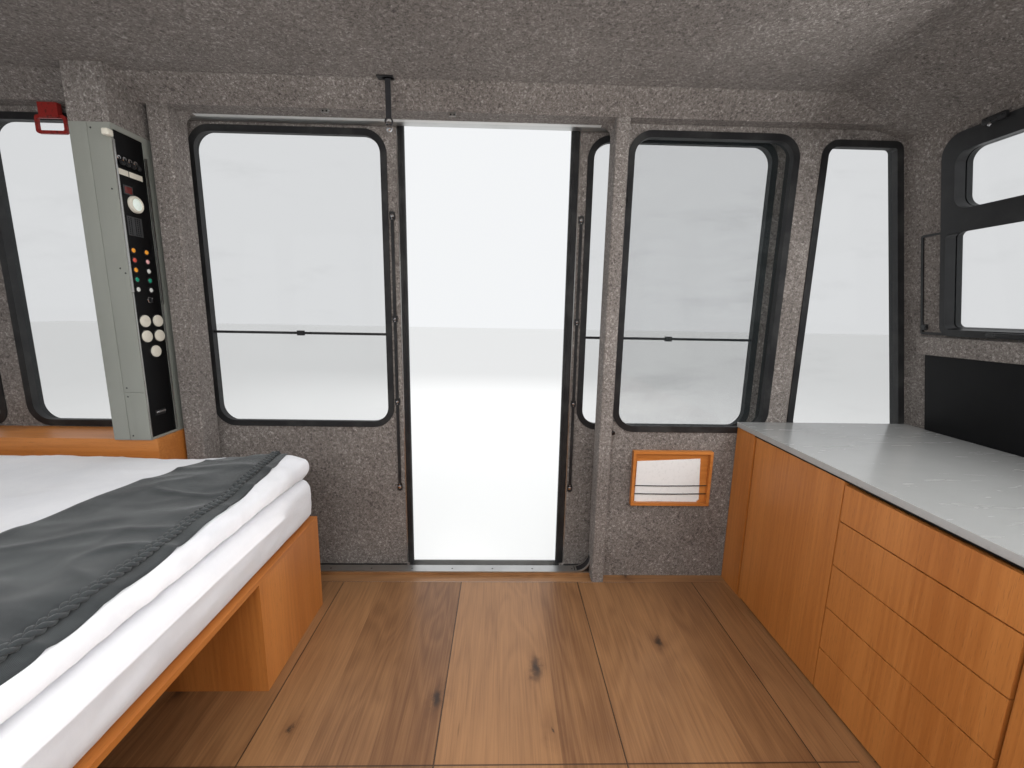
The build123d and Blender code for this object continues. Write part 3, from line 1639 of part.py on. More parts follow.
# Counter
save("counter_carcass", counter_carcass())
save("worktop", worktop())
save("splashback", splashback())
for door in DOORS:
    save(door.name, counter_door(door))
for number in range(DRAWER_COUNT):
    save(f"drawer_{number + 1}", drawer(number))

# Outside
save("suspension_frame", suspension())
save("roof_hatch", hatch_lid())
save("long_beams", *long_beams())
save("cross_beams", *cross_beams())
rail = guide_rail()
save("side_guides", rail, flip_y(rail))
save("end_buffers", *all_four(buffer()))
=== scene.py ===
"""Dresses the cable car cabin: camera and light, a finish for each node, the bedding and the small fittings.

Lengths in the classes are millimetres on the cabin's own axes: X along the cabin, Y towards the open door
and Z up from the floor. Shape.mesh turns them into the frame's metres, whose zero is the bore of the
hanger's pin.
"""

import json
import logging
import math
from dataclasses import dataclass
from enum import Enum
from typing import Any, Sequence, Union

import bmesh
import bpy
import numpy as np
from mathutils import Matrix, Vector
from mathutils.bvhtree import BVHTree

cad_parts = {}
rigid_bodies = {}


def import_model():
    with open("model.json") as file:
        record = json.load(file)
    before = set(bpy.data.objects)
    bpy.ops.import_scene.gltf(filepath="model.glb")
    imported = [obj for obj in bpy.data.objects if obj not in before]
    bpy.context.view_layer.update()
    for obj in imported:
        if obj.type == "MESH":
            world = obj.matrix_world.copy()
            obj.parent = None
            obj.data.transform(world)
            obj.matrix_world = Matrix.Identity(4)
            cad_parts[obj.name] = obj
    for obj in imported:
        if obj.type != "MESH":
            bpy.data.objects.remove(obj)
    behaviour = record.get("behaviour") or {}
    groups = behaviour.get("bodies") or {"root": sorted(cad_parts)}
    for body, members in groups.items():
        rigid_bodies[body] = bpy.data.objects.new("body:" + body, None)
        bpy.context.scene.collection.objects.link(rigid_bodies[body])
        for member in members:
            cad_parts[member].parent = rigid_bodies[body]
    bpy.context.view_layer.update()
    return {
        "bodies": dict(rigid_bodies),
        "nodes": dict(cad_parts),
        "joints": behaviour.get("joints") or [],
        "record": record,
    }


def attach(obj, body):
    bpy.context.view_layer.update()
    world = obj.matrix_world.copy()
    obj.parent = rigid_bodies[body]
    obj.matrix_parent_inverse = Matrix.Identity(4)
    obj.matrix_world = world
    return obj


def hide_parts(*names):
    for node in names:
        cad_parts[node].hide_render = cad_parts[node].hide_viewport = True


logging.basicConfig(level=logging.INFO, format="%(message)s")
LOG = logging.getLogger("cabin")

Colour = tuple[float, float, float]
BORE_HEIGHT = 2720.0  # floor to the middle of the bore, where the frame's zero is


class Axis(Enum):
    """A direction along one of the cabin's axes."""

    X = 0
    Y = 1
    Z = 2


# Shader sums


class Value:
    """A number socket of a node graph that takes part in Python sums."""

    def __init__(self, graph: "Graph", socket: bpy.types.NodeSocket) -> None:
        """Keeps the graph and the socket."""
        self.graph = graph
        self.socket = socket

    def __add__(self, other: "Number") -> "Value":
        """Sum."""
        return self.graph.math("ADD", self, other)

    def __radd__(self, other: "Number") -> "Value":
        """Sum with a plain number first."""
        return self.graph.math("ADD", other, self)

    def __sub__(self, other: "Number") -> "Value":
        """Difference."""
        return self.graph.math("SUBTRACT", self, other)

    def __rsub__(self, other: "Number") -> "Value":
        """Difference with a plain number first."""
        return self.graph.math("SUBTRACT", other, self)

    def __mul__(self, other: "Number") -> "Value":
        """Product."""
        return self.graph.math("MULTIPLY", self, other)

    def __rmul__(self, other: "Number") -> "Value":
        """Product with a plain number first."""
        return self.graph.math("MULTIPLY", other, self)

    def __truediv__(self, other: "Number") -> "Value":
        """Quotient."""
        return self.graph.math("DIVIDE", self, other)

    def __abs__(self) -> "Value":
        """Size without sign."""
        return self.graph.math("ABSOLUTE", self)

    def over(self, other: "Number") -> "Value":
        """One where this is greater than the other, else zero."""
        return self.graph.math("GREATER_THAN", self, other)

    def under(self, other: "Number") -> "Value":
        """One where this is less than the other, else zero."""
        return self.graph.math("LESS_THAN", self, other)

    def most(self, other: "Number") -> "Value":
        """The larger of the two."""
        return self.graph.math("MAXIMUM", self, other)

    def wave(self) -> "Value":
        """Sine."""
        return self.graph.math("SINE", self)

    def whole(self) -> "Value":
        """The whole number at or below."""
        return self.graph.math("FLOOR", self)

    def fraction(self) -> "Value":
        """What is left past the whole number below."""
        return self.graph.math("FRACT", self)

    def rise(self, low: float, high: float) -> "Value":
        """Smooth step: zero at low, one at high."""
        node = self.graph.node(
            "ShaderNodeMapRange",
            {"interpolation_type": "SMOOTHSTEP"},
            {"Value": self, "From Min": low, "From Max": high},
        )
        return Value(self.graph, node.outputs["Result"])


Number = Union[Value, float]


class Graph:
    """The node graph of one material."""

    def __init__(self, name: str) -> None:
        """Starts an empty material.

        Args:
            name: the material's name.
        """
        self.material = bpy.data.materials.new(name)
        self.material.use_nodes = True
        self.tree = self.material.node_tree
        self.tree.nodes.clear()
        coordinates = self.node("ShaderNodeTexCoord")
        self.place = coordinates.outputs["Object"]
        parts = self.node("ShaderNodeSeparateXYZ", None, {"Vector": self.place})
        self.x = Value(self, parts.outputs["X"])
        self.y = Value(self, parts.outputs["Y"])
        self.z = Value(self, parts.outputs["Z"])

    def node(
        self, kind: str, settings: dict[str, Any] | None = None, inputs: dict[Any, Any] | None = None
    ) -> bpy.types.Node:
        """Adds a node.

        Args:
            kind: the node's type.
            settings: its properties, set first; "stops" holds a colour ramp's stops.
            inputs: a value, socket or Value for each input, by name or index.

        Returns:
            The new node.
        """
        node = self.tree.nodes.new(kind)
        for key, value in (settings or {}).items():
            if key == "stops":
                ramp = node.color_ramp.elements
                while len(ramp) < len(value):
                    ramp.new(0.5)
                for element, (position, colour) in zip(ramp, value):
                    element.position = position
                    element.color = (*colour, 1.0)
            else:
                setattr(node, key, value)
        for key, value in (inputs or {}).items():
            socket = node.inputs[key]
            if isinstance(value, Value):
                value = value.socket
            if isinstance(value, bpy.types.NodeSocket):
                self.tree.links.new(value, socket)
            elif socket.type == "RGBA":
                socket.default_value = (*value, 1.0)
            else:
                socket.default_value = value
        return node

    def math(self, operation: str, *terms: Number) -> Value:
        """Adds a Math node.

        Args:
            operation: the node's operation.
            terms: its inputs in order.

        Returns:
            Its result.
        """
        node = self.node("ShaderNodeMath", {"operation": operation}, dict(enumerate(terms)))
        return Value(self, node.outputs[0])

    def stretched(self, scale: Sequence[float], shift: Sequence[float] = (0, 0, 0)) -> bpy.types.NodeSocket:
        """The place on the object, scaled along each axis and then moved."""
        node = self.node(
            "ShaderNodeMapping", None, {"Vector": self.place, "Scale": scale, "Location": shift}
        )
        return node.outputs["Vector"]

    def joined(self, x: Number, y: Number, z: Number) -> bpy.types.NodeSocket:
        """A vector from three numbers."""
        node = self.node("ShaderNodeCombineXYZ", None, {"X": x, "Y": y, "Z": z})
        return node.outputs["Vector"]

    def noise(
        self,
        vector: bpy.types.NodeSocket,
        scale: float,
        detail: float = 2.0,
        rough: float = 0.5,
        warp: float = 0.0,
    ) -> Value:
        """Soft random pattern from 0 to 1, with `scale` features to each unit of the vector."""
        inputs = {
            "Vector": vector, "Scale": scale, "Detail": detail, "Roughness": rough, "Distortion": warp
        }
        return Value(self, self.node("ShaderNodeTexNoise", None, inputs).outputs["Fac"])

    def lot(self, number: Number) -> Value:
        """A random number from 0 to 1 that stays the same for the same input."""
        node = self.node("ShaderNodeTexWhiteNoise", {"noise_dimensions": "1D"}, {"W": number})
        return Value(self, node.outputs["Value"])

    def blend(self, share: Number, first: Any, second: Any) -> bpy.types.NodeSocket:
        """A colour between two, by a share from 0 to 1."""
        settings = {"data_type": "RGBA", "clamp_factor": True}
        return self.node("ShaderNodeMix", settings, {0: share, 6: first, 7: second}).outputs[2]

    def ramp(self, share: Number, stops: Sequence[tuple[float, Colour]]) -> bpy.types.NodeSocket:
        """A colour read off a row of stops."""
        return self.node("ShaderNodeValToRGB", {"stops": stops}, {"Fac": share}).outputs["Color"]

    def bump(self, height: Number, depth: float, strength: float = 1.0) -> bpy.types.NodeSocket:
        """A normal from a height pattern whose full step is depth metres."""
        inputs = {"Height": height, "Distance": depth, "Strength": strength}
        return self.node("ShaderNodeBump", None, inputs).outputs["Normal"]

    def surface(self, **inputs: Any) -> bpy.types.NodeSocket:
        """A Principled shader; underscores in the names stand for spaces."""
        named = {key.replace("_", " "): value for key, value in inputs.items()}
        return self.node("ShaderNodeBsdfPrincipled", None, named).outputs["BSDF"]

    def finish(self, shader: bpy.types.NodeSocket) -> bpy.types.Material:
        """Puts the shader on the material's output and gives the material."""
        self.node("ShaderNodeOutputMaterial", None, {"Surface": shader})
        return self.material


# Finishes


@dataclass(frozen=True)
class Finish:
    """What a surface is made of; each kind says how it looks in `shader`."""

    name: str

    def shader(self, graph: Graph) -> bpy.types.NodeSocket:
        """The finish's shader in a graph."""
        raise NotImplementedError

    def material(self) -> bpy.types.Material:
        """The finish's material, made once."""
        found = bpy.data.materials.get(self.name + "_finish")
        if found is None:
            graph = Graph(self.name + "_finish")
            found = graph.finish(self.shader(graph))
        return found


@dataclass(frozen=True)
class Felt(Finish):
    """Heathered wool felt glued to the panels: pale and dark fibres over a cloudy ground."""

    dark: Colour = (0.062, 0.053, 0.048)
    middle: Colour = (0.188, 0.165, 0.150)
    pale: Colour = (0.520, 0.485, 0.455)

    def shader(self, graph: Graph) -> bpy.types.NodeSocket:
        """Flecks of about 14 mm mixed with finer fibres, over clouds of about 0.4 m."""
        fleck = graph.noise(graph.place, 92.0, 4.0, 0.8, 0.8)
        fibre = graph.noise(graph.place, 300.0, 2.0, 0.7, 1.2)
        cloud = graph.noise(graph.place, 2.6, 3.0, 0.6)
        share = fleck * 0.72 + fibre * 0.28 + (cloud - 0.5) * 0.12
        stops = [(0.38, self.dark), (0.485, self.middle), (0.53, self.middle), (0.66, self.pale)]
        colour = graph.ramp(share, stops)
        normal = graph.bump(fleck * 0.6 + fibre * 0.4, 0.005, 0.8)
        return graph.surface(
            Base_Color=colour, Roughness=0.95, Normal=normal, Sheen_Weight=0.12, Specular_IOR_Level=0.15
        )


@dataclass(frozen=True)
class Paint(Finish):
    """Sprayed paint on sheet metal, with a little orange peel and dust in clouds and runs."""

    colour: Colour = (0.74, 0.75, 0.74)
    dirt: Colour = (0.36, 0.35, 0.32)
    rough: float = 0.34
    wear: float = 0.35

    def shader(self, graph: Graph) -> bpy.types.NodeSocket:
        """Dust lies in clouds and in thin runs down the panel."""
        cloud = graph.noise(graph.place, 3.2, 5.0, 0.62)
        runs = graph.noise(graph.stretched((34.0, 34.0, 1.3)), 1.0, 3.0, 0.6)
        dust = (cloud.rise(0.46, 0.78) * 0.5 + runs.rise(0.5, 0.85) * 0.5) * self.wear
        colour = graph.blend(dust, self.colour, self.dirt)
        peel = graph.noise(graph.place, 260.0, 1.0)
        normal = graph.bump(peel, 0.0004, 0.4)
        return graph.surface(
            Base_Color=colour,
            Roughness=dust * 0.4 + (cloud * 0.1 + self.rough - 0.05),
            Normal=normal,
            Coat_Weight=0.12,
        )


@dataclass(frozen=True)
class Lined(Finish):
    """A panel with one finish towards the room and another towards the weather."""

    inside: Finish
    outside: Finish
    y: float = 1e6
    end: float = 1e6

    def shader(self, graph: Graph) -> bpy.types.NodeSocket:
        """The panel's middle plane parts them: |Y| = y for a side, |X| + 0.18 Z = end for an end wall."""
        side = abs(graph.y).over(self.y / 1000)
        lean = (abs(graph.x) + (graph.z + BORE_HEIGHT / 1000) * 0.18).over(self.end / 1000)
        inputs = {0: side.most(lean), 1: self.inside.shader(graph), 2: self.outside.shader(graph)}
        return graph.node("ShaderNodeMixShader", None, inputs).outputs["Shader"]


@dataclass(frozen=True)
class Veneer(Finish):
    """Oiled beech veneer: fine straight grain with short dark pores."""

    along: Axis = Axis.Z
    pale: Colour = (0.590, 0.225, 0.055)
    deep: Colour = (0.430, 0.142, 0.028)

    def shader(self, graph: Graph) -> bpy.types.NodeSocket:
        """Streaks and pores are noise pulled out along the grain."""
        broad = graph.noise(graph.stretched(self.pull(7.0, 0.5)), 1.0, 2.0, 0.5, 0.4)
        streak = graph.noise(graph.stretched(self.pull(85.0, 2.2)), 1.0, 4.0, 0.6, 0.3)
        pores = graph.noise(graph.stretched(self.pull(520.0, 26.0)), 1.0, 1.0, 0.5)
        share = broad * 0.55 + streak * 0.45
        colour = graph.blend(share.rise(0.33, 0.68), self.deep, self.pale)
        dark = pores.rise(0.60, 0.72)
        colour = graph.blend(dark * 0.34, colour, (0.20, 0.075, 0.02))
        normal = graph.bump(streak - dark * 0.5, 0.0005, 0.35)
        return graph.surface(
            Base_Color=colour,
            Roughness=streak * 0.16 + 0.34,
            Normal=normal,
            Coat_Weight=0.10,
            Coat_Roughness=0.28,
        )

    def pull(self, across: float, along: float) -> tuple[float, float, float]:
        """Scales for noise that is drawn out along the grain."""
        scales = [across, across, across]
        scales[self.along.value] = along
        return tuple(scales)


@dataclass(frozen=True)
class OakFloor(Finish):
    """Smoked oak boards: strips of their own tone, flame grain, knots, cracks and dark joints."""

    board: float = 598.0
    first: float = 277.0
    strips: int = 3
    cross_joint: float = 241.0
    pale: Colour = (0.330, 0.168, 0.072)
    deep: Colour = (0.118, 0.050, 0.020)
    border: bool = False

    def shader(self, graph: Graph) -> bpy.types.NodeSocket:
        """Each strip shifts the grain by its own lot; flame lines are contours of a drawn-out noise.

        The grain runs along Y, and along X in the border beside the walls.
        """
        u, v = graph.x, graph.y
        if self.border:
            beside = abs(v).over(1.130)
            u, v = u + beside * (v - u), v + beside * (u - v)
        strip_w = self.board / self.strips / 1000
        place = (u - self.first / 1000) / strip_w
        index = place.whole()
        tone = graph.lot(index + 3.3)
        vector = graph.joined(u, v + tone * 7.0, tone * 3.0)
        shaped = graph.node(
            "ShaderNodeMapping", None, {"Vector": vector, "Scale": (1.0, 0.16, 1.0)}
        ).outputs["Vector"]
        field_ = graph.noise(shaped, 5.5, 2.0, 0.5, 0.5)
        flame = (field_ * 70.0).wave() * 0.5 + 0.5
        fine = graph.noise(
            graph.node(
                "ShaderNodeMapping", None, {"Vector": vector, "Scale": (150.0, 3.4, 1.0)}
            ).outputs["Vector"],
            1.0,
            5.0,
            0.65,
            0.25,
        )
        cloud = graph.noise(vector, 1.9, 3.0, 0.55)
        knot, halo = self.knots(graph)
        share = flame * 0.08 + fine * 0.56 + cloud * 0.34 + (tone - 0.5) * 0.20 - halo * 0.20
        colour = graph.blend(share.rise(0.16, 0.80), self.deep, self.pale)
        crack = graph.noise(
            graph.node(
                "ShaderNodeMapping", None, {"Vector": vector, "Scale": (95.0, 2.0, 1.0)}
            ).outputs["Vector"],
            1.0,
            3.0,
            0.6,
        ).rise(0.70, 0.78)
        colour = graph.blend(crack * 0.55, colour, (0.050, 0.026, 0.014))
        colour = graph.blend(knot * 0.92, colour, (0.024, 0.014, 0.009))
        board_place = ((u - self.first / 1000) * (1000 / self.board)).fraction() - 0.5
        joint = abs(board_place).over(0.5 - 2.2 / self.board)
        strip_joint = abs(place.fraction() - 0.5).over(0.4962) * 0.18
        cross = abs(v - self.cross_joint / 1000).under(0.0 if self.border else 0.0022)
        seam = joint.most(strip_joint).most(cross)
        colour = graph.blend(seam * 0.85, colour, (0.030, 0.016, 0.010))
        normal = graph.bump(fine * 0.6 + flame * 0.2 - crack * 0.8 - knot * 0.4 - seam, 0.0011, 0.55)
        return graph.surface(
            Base_Color=colour,
            Roughness=fine * 0.16 + 0.29 + crack * 0.2,
            Normal=normal,
            Coat_Weight=0.16,
            Coat_Roughness=0.27,
        )

    def knots(self, graph: Graph) -> tuple[Value, Value]:
        """Dark knots and the darker wood round them, one in some cells of a drawn-out Voronoi pattern."""
        wobble = graph.noise(graph.place, 21.0, 3.0, 0.7) * 0.16
        vector = graph.joined(graph.x * 3.1 + wobble, graph.y * 1.25 + wobble * 0.5, 0.0)
        cells = graph.node(
            "ShaderNodeTexVoronoi",
            {"voronoi_dimensions": "2D"},
            {"Vector": vector, "Scale": 1.0, "Randomness": 1.0},
        )
        reach = Value(graph, cells.outputs["Distance"])
        parts = graph.node("ShaderNodeSeparateColor", None, {"Color": cells.outputs["Color"]})
        size = Value(graph, parts.outputs["Red"])
        chosen = Value(graph, parts.outputs["Green"]).over(0.30)
        nearness = 1.0 - reach / (size * size * 0.075 + 0.022)
        return nearness.rise(0.0, 0.9) * chosen, (1.0 - reach / 0.17).rise(0.0, 1.0) * chosen * 0.8


@dataclass(frozen=True)
class Metal(Finish):
    """Bare metal: brushed along one axis, or cloudy where it is cast or dipped."""

    colour: Colour = (0.62, 0.62, 0.61)
    rough: float = 0.34
    along: Axis | None = Axis.X
    cloudy: float = 0.15

    def shader(self, graph: Graph) -> bpy.types.NodeSocket:
        """Brush marks are noise pulled out along the axis; clouds dull and darken the metal."""
        cloud = graph.noise(graph.place, 7.0, 4.0, 0.6)
        scales = [700.0, 700.0, 700.0]
        if self.along is not None:
            scales[self.along.value] = 8.0
        brush = graph.noise(graph.stretched(scales), 1.0, 2.0, 0.6)
        dull = tuple(part * 0.45 for part in self.colour)
        colour = graph.blend(cloud.rise(0.42, 0.8) * self.cloudy * 2.0, self.colour, dull)
        rough = brush * 0.18 + cloud * self.cloudy + (self.rough - 0.12)
        return graph.surface(
            Base_Color=colour, Metallic=1.0, Roughness=rough, Normal=graph.bump(brush, 0.0003, 0.25)
        )


@dataclass(frozen=True)
class Zinc(Finish):
    """Hot-dipped steel: grey crystals of slightly different tone."""

    pale: Colour = (0.52, 0.54, 0.55)
    deep: Colour = (0.33, 0.35, 0.36)

    def shader(self, graph: Graph) -> bpy.types.NodeSocket:
        """Voronoi cells of about 15 mm are the crystals; dust dulls them."""
        cells = graph.node("ShaderNodeTexVoronoi", None, {"Vector": graph.place, "Scale": 65.0})
        parts = graph.node("ShaderNodeSeparateColor", None, {"Color": cells.outputs["Color"]})
        crystal = Value(graph, parts.outputs["Red"])
        cloud = graph.noise(graph.place, 4.0, 4.0, 0.6)
        colour = graph.blend(crystal * 0.6 + cloud * 0.4, self.deep, self.pale)
        rough = crystal * 0.12 + cloud * 0.16 + 0.36
        return graph.surface(
            Base_Color=colour,
            Metallic=0.85,
            Roughness=rough,
            Normal=graph.bump(crystal + cloud, 0.0003, 0.3),
        )


@dataclass(frozen=True)
class Rubber(Finish):
    """Black rubber, a little greyed and dusty."""

    colour: Colour = (0.012, 0.012, 0.013)
    dust: Colour = (0.050, 0.050, 0.048)
    rough: float = 0.50
    shine: float = 0.5

    def shader(self, graph: Graph) -> bpy.types.NodeSocket:
        """Greyed in clouds, with a fine mould grain."""
        cloud = graph.noise(graph.place, 9.0, 4.0, 0.65)
        grain = graph.noise(graph.place, 900.0, 1.0)
        colour = graph.blend(cloud.rise(0.4, 0.8) * 0.6, self.colour, self.dust)
        rough = cloud * 0.25 + (self.rough - 0.1)
        normal = graph.bump(grain, 0.0003, 0.3)
        return graph.surface(
            Base_Color=colour, Roughness=rough, Normal=normal, Specular_IOR_Level=self.shine
        )


@dataclass(frozen=True)
class Plastic(Finish):
    """Moulded plastic or enamel in one colour, slightly scuffed."""

    colour: Colour = (0.6, 0.6, 0.6)
    rough: float = 0.35
    glow: float = 0.0

    def shader(self, graph: Graph) -> bpy.types.NodeSocket:
        """Scuffs dull the gloss and shift the colour a little."""
        scuff = graph.noise(graph.place, 60.0, 3.0, 0.7)
        worn = tuple(min(1.0, part * 0.72 + 0.02) for part in self.colour)
        colour = graph.blend(scuff.rise(0.5, 0.8) * 0.6, self.colour, worn)
        extra = {"Emission_Color": colour, "Emission_Strength": self.glow} if self.glow else {}
        return graph.surface(Base_Color=colour, Roughness=scuff * 0.2 + (self.rough - 0.1), **extra)


@dataclass(frozen=True)
class ChippedPaint(Finish):
    """Red enamel on a cast handle, rubbed to dark metal in patches."""

    colour: Colour = (0.30, 0.022, 0.018)
    bare: Colour = (0.060, 0.028, 0.024)

    def shader(self, graph: Graph) -> bpy.types.NodeSocket:
        """Patches of about 12 mm are rubbed darker and duller."""
        patch = graph.noise(graph.place, 75.0, 4.0, 0.7, 0.4)
        worn = patch.rise(0.52, 0.66)
        colour = graph.blend(worn * 0.75, self.colour, self.bare)
        return graph.surface(
            Base_Color=colour, Roughness=worn * 0.3 + 0.36, Normal=graph.bump(patch, 0.0012, 0.4)
        )


@dataclass(frozen=True)
class Glass(Finish):
    """Tinted safety glass, seen through, with a faint reflection and faint smears."""

    tint: Colour = (0.014, 0.024, 0.026)
    cover: float = 0.13

    def shader(self, graph: Graph) -> bpy.types.NodeSocket:
        """How much the pane covers grows with its reflection at a slant and with faint smears."""
        facing = graph.node("ShaderNodeLayerWeight", None, {"Blend": 0.5}).outputs["Facing"]
        slant = graph.math("POWER", Value(graph, facing), 5.0)
        smear = graph.noise(graph.stretched((1.4, 1.4, 5.0)), 1.0, 4.0, 0.6).rise(0.5, 0.85)
        cover = slant * 0.6 + smear * 0.05 + self.cover
        return graph.surface(Base_Color=self.tint, Roughness=0.03, Alpha=cover, Specular_IOR_Level=0.8)


@dataclass(frozen=True)
class Composite(Finish):
    """Grey worktop board: fine speckle, satin, wiped in faint arcs."""

    colour: Colour = (0.230, 0.233, 0.228)
    pale: Colour = (0.360, 0.362, 0.355)

    def shader(self, graph: Graph) -> bpy.types.NodeSocket:
        """Speckle of about 1 mm, and wiping marks that change only the gloss."""
        speck = graph.noise(graph.place, 800.0, 2.0, 0.7)
        cloud = graph.noise(graph.place, 5.0, 4.0, 0.6)
        colour = graph.blend(speck * 0.35 + cloud * 0.35, self.colour, self.pale)
        wipe = graph.noise(graph.stretched((4.0, 22.0, 4.0)), 1.0, 3.0, 0.6, 1.5)
        return graph.surface(
            Base_Color=colour,
            Roughness=wipe * 0.16 + 0.17,
            Normal=graph.bump(speck, 0.0002, 0.2),
            Coat_Weight=0.2,
        )


@dataclass(frozen=True)
class Cloth(Finish):
    """Woven cloth: crossing threads, soft tone changes and a light sheen."""

    colour: Colour = (0.78, 0.78, 0.80)
    shade: Colour = (0.62, 0.63, 0.67)
    thread: float = 1.1
    mottle: float = 0.25
    rough: float = 0.86

    def shader(self, graph: Graph) -> bpy.types.NodeSocket:
        """Threads are two crossed sine waves of `thread` millimetres; washed tones are soft clouds."""
        turns = 2000.0 * math.pi / self.thread
        warp = ((graph.x + graph.z * 0.7) * turns).wave()
        weft = ((graph.y + graph.z * 0.7) * turns).wave()
        cloud = graph.noise(graph.place, 5.0, 5.0, 0.65, 0.4)
        slub = graph.noise(graph.stretched((30.0, 240.0, 60.0)), 1.0, 2.0, 0.6)
        share = (cloud.rise(0.3, 0.75) * self.mottle + slub * 0.12) * 1.6
        colour = graph.blend(share, self.colour, self.shade)
        normal = graph.bump(warp * weft * 0.5 + slub * 0.4, self.thread / 3000, 0.35)
        return graph.surface(
            Base_Color=colour, Roughness=self.rough, Normal=normal, Sheen_Weight=0.2, Specular_IOR_Level=0.2
        )


FELT = Felt("felt")
WHITE = Paint("white_paint")
GREY_GREEN = Paint("console_paint", (0.262, 0.270, 0.240), (0.16, 0.16, 0.138), 0.42, 0.45)
SIDE_WALL = Lined("side_wall", FELT, WHITE, y=1215.0)
END_WALL = Lined("end_wall", FELT, WHITE, end=2695.0)
LEAF_PANEL = Lined("leaf_panel", FELT, WHITE, y=1320.0)
VENEER_UP = Veneer("veneer_upright", Axis.Z)
VENEER_X = Veneer("veneer_along", Axis.X)
VENEER_Y = Veneer("veneer_across", Axis.Y)
OAK = OakFloor("smoked_oak")
OAK_BORDER = OakFloor("smoked_oak_border", border=True)
ALUMINIUM = Metal("brushed_aluminium", (0.66, 0.66, 0.65), 0.36, Axis.X, 0.14)
EDGE_STEEL = Metal("edge_steel", (0.70, 0.70, 0.68), 0.28, Axis.Z, 0.08)
DARK_STEEL = Metal("dark_steel", (0.10, 0.10, 0.105), 0.42, None, 0.2)
BRIGHT_STEEL = Metal("bright_steel", (0.72, 0.72, 0.73), 0.22, None, 0.06)
ZINC = Zinc("galvanised_steel")
RUBBER = Rubber("black_rubber")
BLACK_FRAME = Rubber("black_frame", (0.010, 0.010, 0.011), (0.032, 0.032, 0.033), 0.36)
BLACK_PANEL = Rubber("black_panel", (0.003, 0.003, 0.0035), (0.007, 0.007, 0.008), 0.42, 0.22)
GLASS = Glass("safety_glass")
WORKTOP = Composite("worktop")
LINEN = Cloth("white_cotton")
THROW = Cloth("charcoal_throw", (0.024, 0.027, 0.029), (0.062, 0.069, 0.071), 2.2, 0.5, 0.94)
WEBBING = Cloth("black_webbing", (0.016, 0.016, 0.018), (0.04, 0.04, 0.042), 1.6, 0.2, 0.7)
CARD = Plastic("white_card", (0.76, 0.76, 0.75), 0.55)
RED = ChippedPaint("red_enamel")
IVORY = Plastic("ivory_plastic", (0.72, 0.68, 0.58), 0.34)
BLACK_PLASTIC = Plastic("black_plastic", (0.014, 0.014, 0.015), 0.30)
PLATE_GREY = Plastic("plate_grey", (0.045, 0.046, 0.048), 0.5)
DISPLAY = Plastic("dark_display", (0.110, 0.016, 0.014), 0.2, 0.1)
AMBER = Plastic("amber_lens", (0.86, 0.34, 0.030), 0.25, 0.12)
RED_LENS = Plastic("red_lens", (0.62, 0.085, 0.055), 0.25, 0.08)
PINK_LENS = Plastic("pink_lens", (0.78, 0.40, 0.40), 0.25, 0.08)
GREEN_LENS = Plastic("green_lens", (0.012, 0.270, 0.165), 0.25, 0.08)
CLEAR_LENS = Plastic("clear_lens", (0.62, 0.63, 0.60), 0.25, 0.08)
LIT_LENS = Plastic("lit_lens", (0.78, 0.86, 0.80), 0.2, 0.25)
WORKTOP_EDGE = Plastic("worktop_edge", (0.42, 0.42, 0.41), 0.38)

NODE_FINISHES: dict[Finish, tuple[str, ...]] = {
    SIDE_WALL: ("wall_front", "wall_back"),
    END_WALL: ("wall_left", "wall_right"),
    FELT: ("ceiling_lining", "door_posts"),
    WHITE: ("roof_shell", "roof_hatch"),
    LEAF_PANEL: (
        "leaf_front_left_panel", "leaf_front_right_panel", "leaf_back_left_panel", "leaf_back_right_panel",
    ),
    ALUMINIUM: ("floor_deck", "door_tracks", "door_sills"),
    OAK: ("floor_boards",),
    OAK_BORDER: ("border_boards",),
    GLASS: (
        "side_window_glass", "end_window_glass", "leaf_front_left_glass", "leaf_front_right_glass",
        "leaf_back_left_glass", "leaf_back_right_glass",
    ),
    RUBBER: (
        "side_window_seals", "end_buffers", "leaf_front_left_fittings", "leaf_front_right_fittings",
        "leaf_back_left_fittings", "leaf_back_right_fittings",
    ),
    BLACK_FRAME: ("end_window_frames",),
    GREY_GREEN: ("console_housing",),
    BLACK_PANEL: ("console_panel", "splashback"),
    BLACK_PLASTIC: ("console_controls",),
    VENEER_X: ("window_locker", "niche_frame"),
    VENEER_Y: ("bed_platform",),
    VENEER_UP: (
        "bed_boxes", "counter_carcass", "counter_door_far", "counter_door_middle", "counter_door_near",
        "drawer_1", "drawer_2", "drawer_3", "drawer_4", "drawer_5",
    ),
    RED: ("grab_loop",),
    WEBBING: ("ceiling_strap",),
    DARK_STEEL: ("wall_hooks",),
    CARD: ("niche_card",),
    LINEN: ("mattress", "duvet"),
    THROW: ("throw",),
    WORKTOP: ("worktop",),
    ZINC: ("suspension_frame", "long_beams", "cross_beams", "side_guides"),
}


def dress_nodes(nodes: dict[str, bpy.types.Object]) -> None:
    """Gives each CAD node its finish.

    Args:
        nodes: the frame's node objects by name.
    """
    for finish, names in NODE_FINISHES.items():
        for name in names:
            slots = nodes[name].data.materials
            slots.clear()
            slots.append(finish.material())
    LOG.info("dressed %d nodes", sum(map(len, NODE_FINISHES.values())))


# Studio


